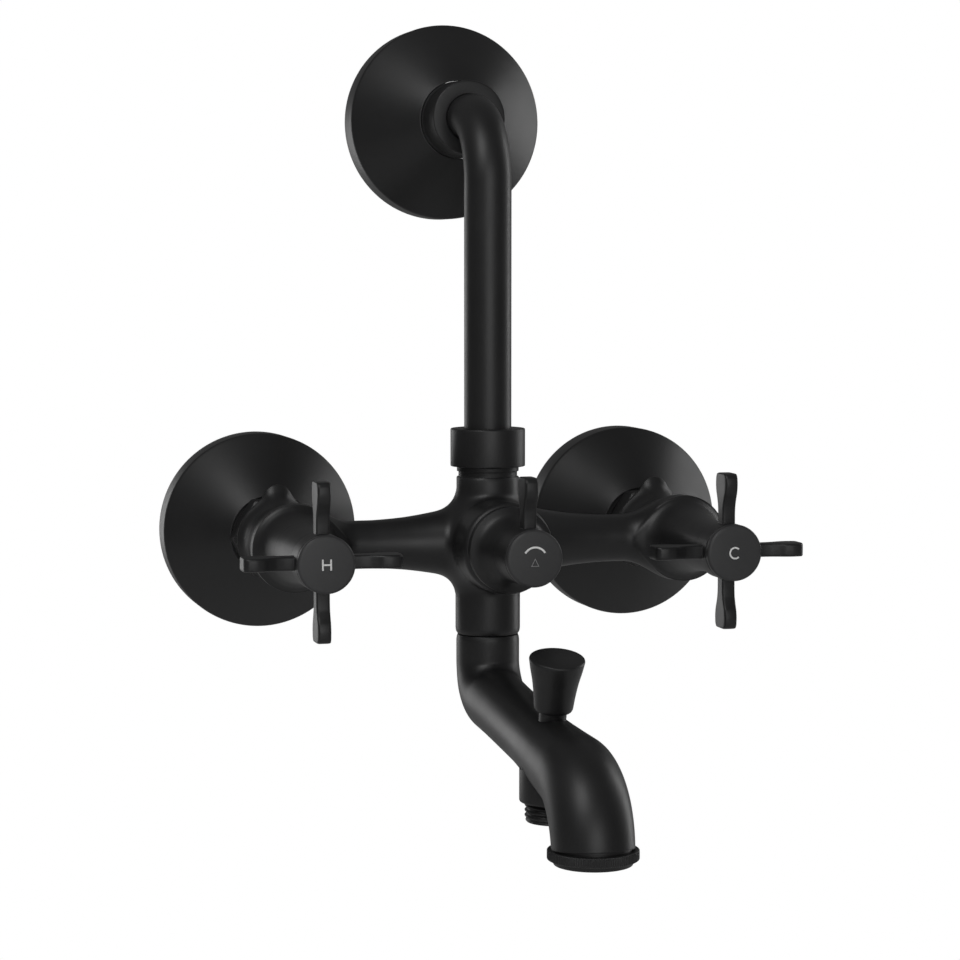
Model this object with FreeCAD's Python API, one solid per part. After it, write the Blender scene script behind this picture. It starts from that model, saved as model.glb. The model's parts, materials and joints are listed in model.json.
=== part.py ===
import FreeCAD, Part
import math
import os

# Exposed bath and shower mixer for a wall: two cross handles, a single-lever diverter,
# a riser pipe to an overhead shower, a swivelling bath spout and a hand-shower outlet.
#
# Frame, in millimetres: the origin lies on the finished wall, midway between the two inlets.
# +X points to the cold side, +Y into the wall and +Z up. "Depth" is the distance in front
# of the wall, so a point at depth d has Y = -d.

# ---- driving dimensions -------------------------------------------------------------
INLET_SPACING = 150.0            # centre distance of the two wall inlets
AXIS_DEPTH = 76.2                # depth of the body, the riser and the spout swivel
RISER_HEIGHT = 159.5             # height of the upper wall connection over the inlets
SPOUT_REACH = 210.0              # depth of the spout's outlet
SPOUT_END = -89.0                # height of the spout's lower end
FIT = 0.05                       # radial gap between pieces that are screwed together
RUN = 0.06                       # radial gap of a running fit
APART = 0.4                      # gap between faces that turn past each other

PIPE_THREAD = 10.48              # radius of a half inch pipe thread
UNION_THREAD = 13.2              # radius of a three quarter inch pipe thread
WALL_ENGAGEMENT = 16.0           # length of male thread inside the wall

FLANGE_RADIUS = 38.0
FLANGE_RIM = 12.2
FLANGE_TOP_RADIUS = 15.4
FLANGE_DEPTH = 33.0
FLANGE_HOLE = 14.9
FLANGE_WALL = 1.6
GRIP_BACK = 29.0                 # rubber ring that holds a cover plate on its leg
GRIP_FRONT = 32.6

NUT_FLAT = 14.5                  # centre to flat of the union nut's hexagon
NUT_BACK = 37.5
NUT_FRONT = 48.0
LEG_END = 42.0
WASHER_THICKNESS = 2.0
SPIGOT_RADIUS = 10.2
CLIP_GROOVE = SPIGOT_RADIUS - 0.8
CLIP_BACK = LEG_END + 2.4        # snap ring that holds the nut on the spigot
CLIP_FRONT = LEG_END + 3.6
WATERWAY = 6.5

BELL_RADIUS = 15.6               # rear rim of each inlet housing
HORN_HEIGHT = 20.7               # top of the lug on each inlet housing
HORN_TIP = 5.0
RIM_RADIUS = 16.3                # front rim of each valve housing
RIM_DEPTH = 85.5
NECK_RADIUS = 10.0
SHROUD_END = 127.0

ARM_WAIST = 9.0
BARREL_RADIUS = 12.15
BARREL_BOTTOM = -34.6
NECK_TOP = 24.5
GROOVE_TOP = 28.3
RISER_THREAD = 12.0
RISER_THREAD_TOP = 36.0

BOSS_RADIUS = 17.0               # diverter boss on the front of the body
BOSS_DEPTH = 107.0
BONNET_RADIUS = 15.8
BONNET_END = 121.8

SEAT_DEPTH = 64.0
CHAMBER_RADIUS = 10.0
CHAMBER_END = 86.0
VALVE_THREAD = 8.3
VALVE_BORE = 8.7
DIVERTER_CHAMBER = 12.0
DIVERTER_SEAT = 68.0

HUB_RADIUS = 10.3
HUB_FRONT = 137.4
CAP_FRONT = 140.5
LEVER_RADIUS = 28.3
LEVER_DEPTH = 130.8
LEVER_HALF_WIDTH = 2.5
SPINDLE_RADIUS = 4.0
SPINDLE_END = 133.5
SCREW_SHANK = 1.9

PIPE_RADIUS = 8.85
PIPE_WALL = 1.2
PIPE_BEND = 25.0
RISER_NUT_RADIUS = 14.0
RISER_NUT_TOP = 42.6
UPPER_RING_RADIUS = 14.2
UPPER_RING_DEPTH = 49.5

SWIVEL_RADIUS = 8.2
SWIVEL_END = -44.0
SPOUT_TOP = BARREL_BOTTOM - APART
SPOUT_WALL = 2.2
FIRST_BEND = 14.5
FIRST_BEND_START = -44.2
SPOUT_SLOPE = 5.3                # fall of the spout's long run, in degrees
SECOND_BEND = 20.3

AERATOR_RADIUS = 15.4
AERATOR_TOP = -89.1
AERATOR_STEP = -92.4
AERATOR_END = -94.2
KNURL_COUNT = 96

OUTLET_DEPTH = 165.0             # hand-shower outlet under the spout
OUTLET_BOSS_RADIUS = 12.3
OUTLET_BOSS_END = -81.8
OUTLET_END = -88.7

KNOB_LEAN = 14.4                 # forward lean of the pull knob, in degrees
KNOB_TOP_DEPTH = 168.0
KNOB_TOP_HEIGHT = -31.3
KNOB_LENGTH = 19.3
KNOB_TRAVEL = 7.0
SPOT_FACE = 24.7                 # flat seat of the plunger gland, along the knob's axis
BULKHEAD_TOP = 30.0
BULKHEAD_BOTTOM = 31.8
DISC_TOP = BULKHEAD_BOTTOM + KNOB_TRAVEL + 0.1
DISC_THICKNESS = 2.4
SEAT_TOP = DISC_TOP + DISC_THICKNESS + 0.1
STEM_RADIUS = 2.5

HALF_SPACING = INLET_SPACING / 2
SIDES = {"hot": -HALF_SPACING, "cold": HALF_SPACING}
FORWARD = FreeCAD.Vector(0, -1, 0)
BACK = FreeCAD.Vector(0, 1, 0)
UP = FreeCAD.Vector(0, 0, 1)
RIGHT = FreeCAD.Vector(1, 0, 0)

parts = {}


# ---- helpers ------------------------------------------------------------------------
def at(x, depth, z):
    return FreeCAD.Vector(x, -depth, z)


def placed(shape, base, direction):
    """Moves a shape built on +Z so that +Z becomes the direction and the origin the base."""
    moved = shape.copy()
    moved.Placement = FreeCAD.Placement(base, FreeCAD.Rotation(UP, direction)).multiply(shape.Placement)
    return moved


def outline(points):
    """Closed face in the XZ plane. A pair is a straight line to (radius, height);
    a list of pairs is a smooth curve from the last point through all of them."""
    def flat(point):
        return FreeCAD.Vector(point[0], 0, point[1])

    edges = []
    last = points[0]
    for item in list(points[1:]) + [points[0]]:
        if isinstance(item, list):
            curve = Part.BSplineCurve()
            curve.interpolate([flat(last)] + [flat(p) for p in item])
            edges.append(curve.toShape())
            last = item[-1]
        elif flat(item).distanceToPoint(flat(last)) > 1e-6:
            edges.append(Part.LineSegment(flat(last), flat(item)).toShape())
            last = item
    return Part.Face(Part.Wire(edges))


def lathe(points, base=FreeCAD.Vector(), direction=UP):
    """Turned solid: points are (radius, height along the direction from the base)."""
    solid = outline(points).revolve(FreeCAD.Vector(), UP, 360)
    if solid.Volume < 0:
        solid.reverse()
    return placed(solid, base, direction)


def rod(radius, start, end, base=FreeCAD.Vector(), direction=UP):
    return placed(Part.makeCylinder(radius, end - start, FreeCAD.Vector(0, 0, start)), base, direction)


def tube(outer, inner, start, end, base=FreeCAD.Vector(), direction=UP):
    return rod(outer, start, end, base, direction).cut(rod(inner, start - 1, end + 1, base, direction))


def ring(middle, section, height, base=FreeCAD.Vector(), direction=UP):
    """O-ring: the radius of its centreline, its section radius and where it lies."""
    return placed(Part.makeTorus(middle, section, FreeCAD.Vector(0, 0, height)), base, direction)


def hexagon(flat_distance, start, end, base, direction):
    """Six-sided bar with a corner at the top."""
    corner = flat_distance / math.cos(math.radians(30))
    angles = [math.radians(90 + 60 * i) for i in range(7)]
    corners = [FreeCAD.Vector(corner * math.cos(a), corner * math.sin(a), start) for a in angles]
    wire = Part.makePolygon(corners)
    return placed(Part.Face(wire).extrude(FreeCAD.Vector(0, 0, end - start)), base, direction)


def joined(shapes):
    shapes = list(shapes)
    return shapes[0].multiFuse(shapes[1:]).removeSplitter()


def keep(name, shape):
    parts[name] = shape


# ---- wall side ----------------------------------------------------------------------
def wall_flange(base):
    """Cover plate: straight rim, then a shallow cone up to an open collar."""
    inner = FLANGE_RADIUS - FLANGE_WALL
    return lathe([
        (FLANGE_RADIUS, 0), (FLANGE_RADIUS, FLANGE_RIM - 0.4), (FLANGE_RADIUS - 0.5, FLANGE_RIM),
        (FLANGE_TOP_RADIUS, FLANGE_DEPTH - 0.3), (FLANGE_TOP_RADIUS - 0.4, FLANGE_DEPTH),
        (FLANGE_HOLE, FLANGE_DEPTH), (FLANGE_HOLE, FLANGE_DEPTH - FLANGE_WALL),
        (inner, FLANGE_RIM - FLANGE_WALL), (inner, 0),
    ], base, FORWARD)


def connecting_leg(base):
    """Union leg: half inch thread into the wall, three quarter inch thread to the nut."""
    return lathe([
        (7.5, -WALL_ENGAGEMENT), (PIPE_THREAD - 0.8, -WALL_ENGAGEMENT), (PIPE_THREAD, 1.5 - WALL_ENGAGEMENT),
        (PIPE_THREAD, 0), (UNION_THREAD, 4.0), (UNION_THREAD, LEG_END - 0.8),
        (UNION_THREAD - 0.8, LEG_END), (7.5, LEG_END),
    ], base, FORWARD)


def union_nut(base):
    """Captive hexagon nut: threaded skirt over the leg, shoulder behind the circlip."""
    hexagonal = hexagon(NUT_FLAT, NUT_BACK, NUT_FRONT, base, FORWARD)
    corner = NUT_FLAT / math.cos(math.radians(30))
    rounding = lathe([
        (0, NUT_BACK), (corner - 1.2, NUT_BACK), (corner, NUT_BACK + 0.7), (corner, NUT_FRONT - 0.7),
        (corner - 1.2, NUT_FRONT), (0, NUT_FRONT),
    ], base, FORWARD)
    bored = hexagonal.common(rounding)
    bored = bored.cut(rod(UNION_THREAD + FIT, NUT_BACK - 1, NUT_FRONT - 2.2, base, FORWARD))
    return bored.cut(rod(SPIGOT_RADIUS + FIT, NUT_BACK, NUT_FRONT + 1, base, FORWARD))


def build_wall_side():
    washers = []
    circlips = []
    grips = []
    for side, x in SIDES.items():
        base = at(x, 0, 0)
        keep(side + "_wall_flange", wall_flange(base))
        keep(side + "_connecting_leg", connecting_leg(base))
        keep(side + "_union_nut", union_nut(base))
        washers.append(tube(UNION_THREAD - 0.3, 7.6, LEG_END, LEG_END + WASHER_THICKNESS, base, FORWARD))
        circlips.append(tube(UNION_THREAD - 0.4, CLIP_GROOVE, CLIP_BACK, CLIP_FRONT, base, FORWARD))
        grips.append(tube(FLANGE_HOLE - FIT, UNION_THREAD + FIT, GRIP_BACK, GRIP_FRONT, base, FORWARD))
    keep("union_washers", Part.makeCompound(washers))
    keep("cover_plate_grip_rings", Part.makeCompound(grips))
    keep("union_nut_circlips", Part.makeCompound(circlips))


# ---- mixer body ---------------------------------------------------------------------
def inlet_housing(x):
    """End of the casting: bell and lug at the back, neck, rim, and the long front shroud."""
    base = at(x, 0, 0)
    turned = lathe([
        (0, LEG_END + WASHER_THICKNESS), (SPIGOT_RADIUS, LEG_END + WASHER_THICKNESS),
        (SPIGOT_RADIUS, NUT_FRONT + 0.2), (BELL_RADIUS, NUT_FRONT + 0.2), (BELL_RADIUS, 50.0),
        [(13.6, 53.0), (12.9, 58.0), (13.1, 66.0), (14.4, 74.0), (RIM_RADIUS, 81.3)],
        (RIM_RADIUS, RIM_DEPTH),
        [(13.7, 87.2), (12.1, 91.0), (10.9, 98.0), (10.3, 108.0), (NECK_RADIUS, SHROUD_END)],
        (0, SHROUD_END),
    ], base, FORWARD)
    tip_height = HORN_HEIGHT - HORN_TIP
    lug_points = [
        at(x - 12.0, 0, 8.0), at(x - 9.4, 0, 12.4), at(x - 6.6, 0, 15.4),
        at(x - HORN_TIP, 0, tip_height + 1.5),
        at(x, 0, HORN_HEIGHT), at(x + HORN_TIP, 0, tip_height + 1.5), at(x + 6.6, 0, 15.4),
        at(x + 9.4, 0, 12.4), at(x + 12.0, 0, 8.0),
    ]
    curve = Part.BSplineCurve()
    curve.interpolate(lug_points)
    closing = Part.LineSegment(lug_points[-1], lug_points[0]).toShape()
    lug = Part.Face(Part.Wire([curve.toShape(), closing]))
    lug = lug.extrude(FORWARD * 18.0)
    lug.translate(FORWARD * (NUT_FRONT + 0.2))
    scoop = lathe([
        (0, 40.0), (HORN_HEIGHT + 1, 40.0), (HORN_HEIGHT + 1, 49.6),
        [(17.6, 51.4), (15.0, 54.6), (13.4, 59.0), (12.6, 64.5)], (0, 64.5),
    ], base, FORWARD)
    return turned.fuse(lug.common(scoop))


def arms():
    """Both arms as one turned piece about the X axis: narrow waists, flares at the ends."""
    half = [(66.8, 14.6), (64.5, 12.6), (61.0, 10.9), (57.0, 9.7), (52.0, ARM_WAIST), (46.0, ARM_WAIST),
            (39.5, 9.5), (32.0, 10.7), (25.0, 12.3), (18.0, 14.2), (9.0, 15.6), (0.0, 16.0)]
    curve = [(r, -x) for x, r in half] + [(r, x) for x, r in reversed(half[:-1])]
    end = HALF_SPACING - 5.0
    return lathe([(0, -end), (15.6, -end), curve, (15.6, end), (0, end)], at(0, AXIS_DEPTH, 0), RIGHT)


def body_cavities():
    """Waterways, valve chambers and threads, as solids to cut from the casting."""
    cuts = []
    for x in SIDES.values():
        base = at(x, 0, 0)
        cuts.append(rod(WATERWAY, 40.0, SEAT_DEPTH + 1, base, FORWARD))
        cuts.append(rod(CHAMBER_RADIUS, SEAT_DEPTH, CHAMBER_END, base, FORWARD))
        cuts.append(rod(VALVE_THREAD + FIT, CHAMBER_END - 1, SHROUD_END + 1, base, FORWARD))
        cuts.append(rod(VALVE_BORE, 98.0, SHROUD_END + 1, base, FORWARD))
        cuts.append(tube(SPIGOT_RADIUS + 1, CLIP_GROOVE, CLIP_BACK, CLIP_FRONT, base, FORWARD))
    middle = at(0, AXIS_DEPTH, 0)
    cuts.append(rod(WATERWAY, -HALF_SPACING, HALF_SPACING, middle, RIGHT))
    cuts.append(rod(WATERWAY, BARREL_BOTTOM - 1, RISER_THREAD_TOP + 1, middle, UP))
    cuts.append(rod(8.0 + FIT, BARREL_BOTTOM - 1, -20.0, middle, UP))
    cuts.append(rod(DIVERTER_CHAMBER, DIVERTER_SEAT, BOSS_DEPTH + 1, at(0, 0, 0), FORWARD))
    return cuts


def build_body():
    middle = at(0, AXIS_DEPTH, 0)
    barrel = lathe([
        (0, BARREL_BOTTOM), (11.3, BARREL_BOTTOM), (BARREL_RADIUS, BARREL_BOTTOM + 2.2),
        (BARREL_RADIUS, -14.0),
        (11.8, 14.0), (11.8, NECK_TOP - 0.4), (11.4, NECK_TOP), (11.0, NECK_TOP), (11.0, GROOVE_TOP),
        (RISER_THREAD, GROOVE_TOP), (RISER_THREAD, RISER_THREAD_TOP), (0, RISER_THREAD_TOP),
    ], middle, UP)
    boss = lathe([
        (0, 60.5), [(7.0, 61.8), (12.0, 65.5), (15.6, 71.5), (BOSS_RADIUS, 80.0)],
        (BOSS_RADIUS, BOSS_DEPTH - 2.2),
        [(16.6, BOSS_DEPTH - 0.9), (15.9, BOSS_DEPTH)], (0, BOSS_DEPTH),
    ], at(0, 0, 0), FORWARD)
    shell = joined([arms(), barrel, boss, inlet_housing(-HALF_SPACING), inlet_housing(HALF_SPACING)])
    keep("mixer_body", shell.cut(body_cavities()))


# ---- valves and handles -------------------------------------------------------------
def sector_slots(base, start, end, radius):
    """Two wedge-shaped ports through a ceramic disc."""
    slots = []
    for angle in (0, 180):
        slot = Part.makeCylinder(radius, end - start, FreeCAD.Vector(0, 0, start), UP, 70)
        slot.rotate(FreeCAD.Vector(), UP, angle - 35)
        slots.append(placed(slot.cut(rod(1.6, start - 1, end + 1)), base, FORWARD))
    return slots


def spindle(base, foot):
    """Turning stem: foot that drives the disc, round stem, tapped front end."""
    stem = lathe([
        (0, foot), (5.9, foot), (5.9, foot + 7.5), (SPINDLE_RADIUS, foot + 7.5),
        (SPINDLE_RADIUS, foot + 16.0), (3.2, foot + 16.0), (3.2, foot + 17.6),
        (SPINDLE_RADIUS, foot + 17.6), (SPINDLE_RADIUS, SPINDLE_END - 0.4),
        (SPINDLE_RADIUS - 0.4, SPINDLE_END), (SCREW_SHANK + FIT, SPINDLE_END),
        (SCREW_SHANK + FIT, SPINDLE_END - 12.0), (0, SPINDLE_END - 12.6),
    ], base, FORWARD)
    o_ring = ring(3.6, 0.4, foot + 16.8, base, FORWARD)
    return stem, o_ring


def lever(angle, base):
    """Paddle seen from the side: narrow at the hub, a rounded bulb, a flat end."""
    waist = 2.85
    swell = [(waist, 13.0), (3.0, 15.5), (4.1, 19.0), (5.3, 21.6), (5.75, 24.2), (5.4, 26.8), (4.2, LEVER_RADIUS)]
    mirrored = [(-half, reach) for half, reach in reversed(swell)]
    root = 8.0
    side = [(waist, root), swell[0], swell[1:], mirrored[0], mirrored[1:], (-waist, root)]
    blade = outline(side).extrude(FreeCAD.Vector(0, 2 * LEVER_HALF_WIDTH, 0))
    blade.translate(FreeCAD.Vector(0, -LEVER_HALF_WIDTH, 0))
    blade = blade.makeFillet(0.35, blade.Edges)
    blade.rotate(FreeCAD.Vector(), UP, 90)
    blade.translate(base + FORWARD * LEVER_DEPTH)
    blade.rotate(base, FORWARD, angle)
    return blade


def handle(base, hub_back, angles):
    """Hub with its levers, bored for the spindle, with a pocket for the screw and cap."""
    hub = lathe([
        (SPINDLE_RADIUS + FIT, hub_back), (HUB_RADIUS - 0.4, hub_back), (HUB_RADIUS, hub_back + 0.4),
        (HUB_RADIUS, HUB_FRONT - 0.3), (HUB_RADIUS - 0.3, HUB_FRONT), (8.0, HUB_FRONT),
        (8.0, SPINDLE_END + 1.2), (SCREW_SHANK + 0.2, SPINDLE_END + 1.2), (SCREW_SHANK + 0.2, SPINDLE_END),
        (SPINDLE_RADIUS + FIT, SPINDLE_END),
    ], base, FORWARD)
    return joined([hub] + [lever(angle, base) for angle in angles])


def index_cap(base):
    """Flat front cover with a rounded edge and a clip ring behind."""
    return lathe([
        (0, CAP_FRONT), (HUB_RADIUS - 1.1, CAP_FRONT), [(HUB_RADIUS - 0.32, CAP_FRONT - 0.32),
                                                       (HUB_RADIUS, CAP_FRONT - 1.1)],
        (HUB_RADIUS, HUB_FRONT + 0.35), (HUB_RADIUS - 0.3, HUB_FRONT + 0.05), (7.95, HUB_FRONT + 0.05),
        (7.95, HUB_FRONT - 2.0), (6.6, HUB_FRONT - 2.0), (6.6, HUB_FRONT + 0.8), (0, HUB_FRONT + 0.8),
    ], base, FORWARD)


def handle_screw(base):
    head = SPINDLE_END + 1.2
    body = lathe([
        (0, SPINDLE_END - 11.5), (SCREW_SHANK, SPINDLE_END - 10.8), (SCREW_SHANK, head), (3.5, head),
        (3.5, head + 1.4), (2.9, head + 2.2), (0, head + 2.2),
    ], base, FORWARD)
    slots = []
    for angle in (0, 90):
        slot = Part.makeBox(4.4, 1.0, 1.2, FreeCAD.Vector(-2.2, -0.5, head + 1.2))
        slot.rotate(FreeCAD.Vector(), UP, angle)
        slots.append(placed(slot, base, FORWARD))
    return body.cut(slots)


def side_valve(side, x):
    """Quarter-turn ceramic valve with its cross handle."""
    base = at(x, 0, 0)
    seal_end = SEAT_DEPTH + 2.0
    disc_end = seal_end + 3.0
    turning_end = disc_end + RUN + 3.0
    keep(side + "_valve_seat_seal", tube(7.8, 4.8, SEAT_DEPTH, seal_end, base, FORWARD))
    fixed = rod(6.0, seal_end, disc_end, base, FORWARD)
    fixed = fixed.cut(sector_slots(base, seal_end - 1, disc_end + 1, 4.9))
    keep(side + "_fixed_ceramic_disc", fixed)
    turning = rod(5.9, disc_end + RUN, turning_end, base, FORWARD)
    keep(side + "_turning_ceramic_disc", turning.cut(sector_slots(base, disc_end, turning_end + 1, 4.9)))
    foot = turning_end
    housing = lathe([
        (6.0 + FIT, seal_end), (7.9, seal_end), (7.9, CHAMBER_END), (VALVE_THREAD, CHAMBER_END),
        (VALVE_THREAD, 98.0),
        (6.6, 98.5), (6.6, 106.0), (SPINDLE_RADIUS + RUN, 106.0), (SPINDLE_RADIUS + RUN, foot + 7.6),
        (6.0 + FIT, foot + 7.6),
    ], base, FORWARD)
    window = Part.makeBox(30.0, 7.0, 6.0, FreeCAD.Vector(x - 15.0, -disc_end - 10.0, -3.0))
    keep(side + "_valve_cartridge", housing.cut(window))
    stem, o_ring = spindle(base, foot)
    keep(side + "_spindle", stem)
    keep(side + "_spindle_o_ring", o_ring)
    keep(side + "_cross_handle", handle(base, SHROUD_END + APART, (0, 90, 180, 270)))
    keep(side + "_handle_screw", handle_screw(base))
    keep(side + "_index_cap", index_cap(base))


def diverter():
    """Two-way diverter: ported sleeve, turning spool, gland, bonnet and one-lever handle."""
    base = at(0, 0, 0)
    sleeve_end = 91.0
    sleeve = tube(DIVERTER_CHAMBER - FIT, 9.6, DIVERTER_SEAT + 1.0, sleeve_end, base, FORWARD)
    ports = [rod(5.0, -20.0, 20.0, at(0, AXIS_DEPTH + 1, 0), direction) for direction in (UP, RIGHT)]
    keep("diverter_sleeve", sleeve.cut(ports))
    keep("diverter_seat_seal", tube(11.5, 9.0, DIVERTER_SEAT, DIVERTER_SEAT + 1.0, base, FORWARD))
    spool_end = sleeve_end - 1.0
    spool = rod(9.6 - RUN, DIVERTER_SEAT + 1.2, spool_end, base, FORWARD)
    side_way = rod(5.0, -20.0, 20.0, at(0, AXIS_DEPTH + 1, 0), RIGHT)
    up_way = rod(5.0, 0.0, 20.0, at(0, AXIS_DEPTH + 1, 0), UP)
    keep("diverter_spool", spool.cut([side_way, up_way]))
    gland = lathe([
        (SPINDLE_RADIUS + RUN, sleeve_end + 7.2), (SPINDLE_RADIUS + RUN, 104.0), (7.0, 104.0), (7.0, 99.0),
        (DIVERTER_CHAMBER - FIT, 99.0), (DIVERTER_CHAMBER - FIT, sleeve_end), (6.2, sleeve_end),
        (6.2, sleeve_end + 7.2),
    ], base, FORWARD)
    keep("diverter_gland", gland)
    stem, o_ring = spindle(base, spool_end)
    keep("diverter_spindle", stem.cut(rod(6.2, spool_end - 1, spool_end + RUN / 2, base, FORWARD)))
    keep("diverter_spindle_o_ring", o_ring)
    bonnet = lathe([
        (VALVE_BORE, BONNET_END), (NECK_RADIUS - 0.1, BONNET_END),
        [(10.1, 118.4), (10.9, 114.9), (12.8, 111.9), (BONNET_RADIUS, BOSS_DEPTH + 3.2)],
        (BONNET_RADIUS, BOSS_DEPTH + 0.02), (DIVERTER_CHAMBER - FIT, BOSS_DEPTH + 0.02),
        (DIVERTER_CHAMBER - FIT, 99.0), (VALVE_BORE, 99.0),
    ], base, FORWARD)
    keep("diverter_bonnet", bonnet)
    keep("diverter_lever_handle", handle(base, BONNET_END + APART, (0,)))
    keep("diverter_handle_screw", handle_screw(base))
    keep("diverter_index_cap", index_cap(base))


# ---- riser --------------------------------------------------------------------------
def build_riser():
    middle = at(0, AXIS_DEPTH, 0)
    foot = RISER_THREAD_TOP + 1.8
    wall_end = -8.0

    def bent(radius):
        corner = RISER_HEIGHT - PIPE_BEND
        start = at(0, AXIS_DEPTH, foot)
        up_end = at(0, AXIS_DEPTH, corner)
        side = PIPE_BEND * (1 - math.cos(math.radians(45)))
        arc_middle = at(0, AXIS_DEPTH - side, corner + PIPE_BEND * math.sin(math.radians(45)))
        arc_end = at(0, AXIS_DEPTH - PIPE_BEND, RISER_HEIGHT)
        path = Part.Wire([
            Part.LineSegment(start, up_end).toShape(),
            Part.Arc(up_end, arc_middle, arc_end).toShape(),
            Part.LineSegment(arc_end, at(0, wall_end, RISER_HEIGHT)).toShape(),
        ])
        section = Part.Wire([Part.makeCircle(radius, start, UP)])
        return path.makePipeShell([section], True, False)

    pipe = bent(PIPE_RADIUS).fuse(rod(11.2, foot, foot + 2.0, middle, UP))
    keep("riser_pipe", pipe.cut(bent(PIPE_RADIUS - PIPE_WALL)))
    keep("riser_washer", tube(11.4, 7.7, RISER_THREAD_TOP, foot, middle, UP))
    nut_bottom = GROOVE_TOP + 0.1
    nut = lathe([
        (RISER_THREAD + FIT, nut_bottom), (RISER_NUT_RADIUS - 0.4, nut_bottom),
        (RISER_NUT_RADIUS, nut_bottom + 0.4),
        (RISER_NUT_RADIUS, RISER_NUT_TOP - 0.5), (RISER_NUT_RADIUS - 0.5, RISER_NUT_TOP),
        (PIPE_RADIUS + FIT, RISER_NUT_TOP), (PIPE_RADIUS + FIT, foot + 2.0), (RISER_THREAD + FIT, foot + 2.0),
    ], middle, UP)
    keep("riser_union_nut", nut)

    wall = at(0, 0, RISER_HEIGHT)
    keep("upper_wall_flange", wall_flange(wall))
    adapter = lathe([
        (7.0, -WALL_ENGAGEMENT), (PIPE_THREAD - 0.8, -WALL_ENGAGEMENT), (PIPE_THREAD, 1.5 - WALL_ENGAGEMENT),
        (PIPE_THREAD, 0), (12.5, 0), (12.5, 14.0), (PIPE_RADIUS + FIT, 14.0), (PIPE_RADIUS + FIT, 7.0),
        (10.3, 7.0), (10.3, 4.6), (PIPE_RADIUS + FIT, 4.6), (PIPE_RADIUS + FIT, wall_end), (7.0, wall_end),
    ], wall, FORWARD)
    keep("riser_wall_adapter", adapter)
    keep("riser_adapter_o_ring", tube(10.25, PIPE_RADIUS + FIT, 4.7, 6.9, wall, FORWARD))
    collar = lathe([
        (PIPE_RADIUS + FIT, 27.0), (FLANGE_HOLE - FIT, 27.0), (FLANGE_HOLE - FIT, FLANGE_DEPTH),
        (UPPER_RING_RADIUS, FLANGE_DEPTH + 0.6), (UPPER_RING_RADIUS, UPPER_RING_DEPTH - 0.5),
        (UPPER_RING_RADIUS - 0.5, UPPER_RING_DEPTH), (PIPE_RADIUS + FIT, UPPER_RING_DEPTH),
    ], wall, FORWARD)
    keep("upper_flange_collar", collar)


# ---- spout --------------------------------------------------------------------------
def spout_stations():
    """Points on the spout's centreline as (depth, height, tangent angle, distance)."""
    turn = math.radians(90 - SPOUT_SLOPE)
    slope = math.radians(SPOUT_SLOPE)
    first_centre = (AXIS_DEPTH + FIRST_BEND, FIRST_BEND_START)
    first_end = (first_centre[0] - FIRST_BEND * math.cos(turn), first_centre[1] - FIRST_BEND * math.sin(turn))
    second_span = SECOND_BEND * (1 - math.cos(turn))
    run = (SPOUT_REACH - second_span - first_end[0]) / math.cos(slope)
    top = (AXIS_DEPTH, SPOUT_TOP, 0.0, 0.0)
    stations = [top, (AXIS_DEPTH, FIRST_BEND_START, 0.0, SPOUT_TOP - FIRST_BEND_START)]
    distance = stations[-1][3]
    for step in range(1, 6):
        angle = turn * step / 5
        stations.append((
            first_centre[0] - FIRST_BEND * math.cos(angle), first_centre[1] - FIRST_BEND * math.sin(angle),
            angle, distance + FIRST_BEND * angle,
        ))
    distance = stations[-1][3]
    for step in range(1, 7):
        along = run * step / 6
        stations.append((first_end[0] + along * math.cos(slope), first_end[1] - along * math.sin(slope),
                         turn, distance + along))
    last = stations[-1]
    for step in range(1, 6):
        angle = turn - turn * step / 5
        stations.append((
            SPOUT_REACH - SECOND_BEND * (1 - math.cos(angle)),
            last[1] - SECOND_BEND * (math.sin(turn) - math.sin(angle)),
            angle, last[3] + SECOND_BEND * (turn - angle),
        ))
    last = stations[-1]
    stations.append((SPOUT_REACH, SPOUT_END, 0.0, last[3] + last[1] - SPOUT_END))
    return stations


def spout_radius(share):
    """Outer radius along the spout: slim in the middle, full at the outlet."""
    knots = [(0.0, 11.85), (0.12, 12.0), (0.3, 11.6), (0.5, 11.4), (0.68, 12.0), (0.82, 13.9), (1.0, 14.05)]
    for (a, ra), (b, rb) in zip(knots, knots[1:]):
        if share <= b:
            t = (share - a) / (b - a)
            return ra + (rb - ra) * t * t * (3 - 2 * t)
    return knots[-1][1]


def spout_tube(inset):
    stations = spout_stations()
    total = stations[-1][3]
    rings = []
    for depth, height, angle, distance in stations:
        tangent = FreeCAD.Vector(0, -math.sin(angle), -math.cos(angle))
        radius = spout_radius(distance / total) - inset
        rings.append(Part.Wire([Part.makeCircle(radius, at(0, depth, height), tangent)]))
    return Part.makeLoft(rings, True, False)


def knob_axis():
    """Base of the pull knob's axis at the knob's top face, and its direction downwards."""
    lean = math.radians(KNOB_LEAN)
    return at(0, KNOB_TOP_DEPTH, KNOB_TOP_HEIGHT), FreeCAD.Vector(0, math.sin(lean), -math.cos(lean))


def valve_webs(knob_base, down):
    """Walls inside the spout: bulkhead over the plunger disc, its two risers, seat under the disc."""
    def slab(along_start, along_end, top, bottom):
        corner = FreeCAD.Vector(-15.0, along_start, top)
        block = Part.makeBox(30.0, along_end - along_start, bottom - top, corner)
        return placed(block, knob_base, down)

    hole = rod(4.6, BULKHEAD_TOP - 1, BULKHEAD_BOTTOM + 1, knob_base, down)
    webs = [
        slab(-8.6, 8.6, BULKHEAD_TOP, BULKHEAD_BOTTOM).cut(hole),
        slab(7.0, 8.6, BULKHEAD_BOTTOM - 0.5, 55.0),
        slab(-8.6, -7.0, 15.0, BULKHEAD_TOP + 0.5),
        rod(6.6, SEAT_TOP, SEAT_TOP + 8.0, knob_base, down),
    ]
    inside = spout_tube(SPOUT_WALL / 2)
    return [web.common(inside) for web in webs]


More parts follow.
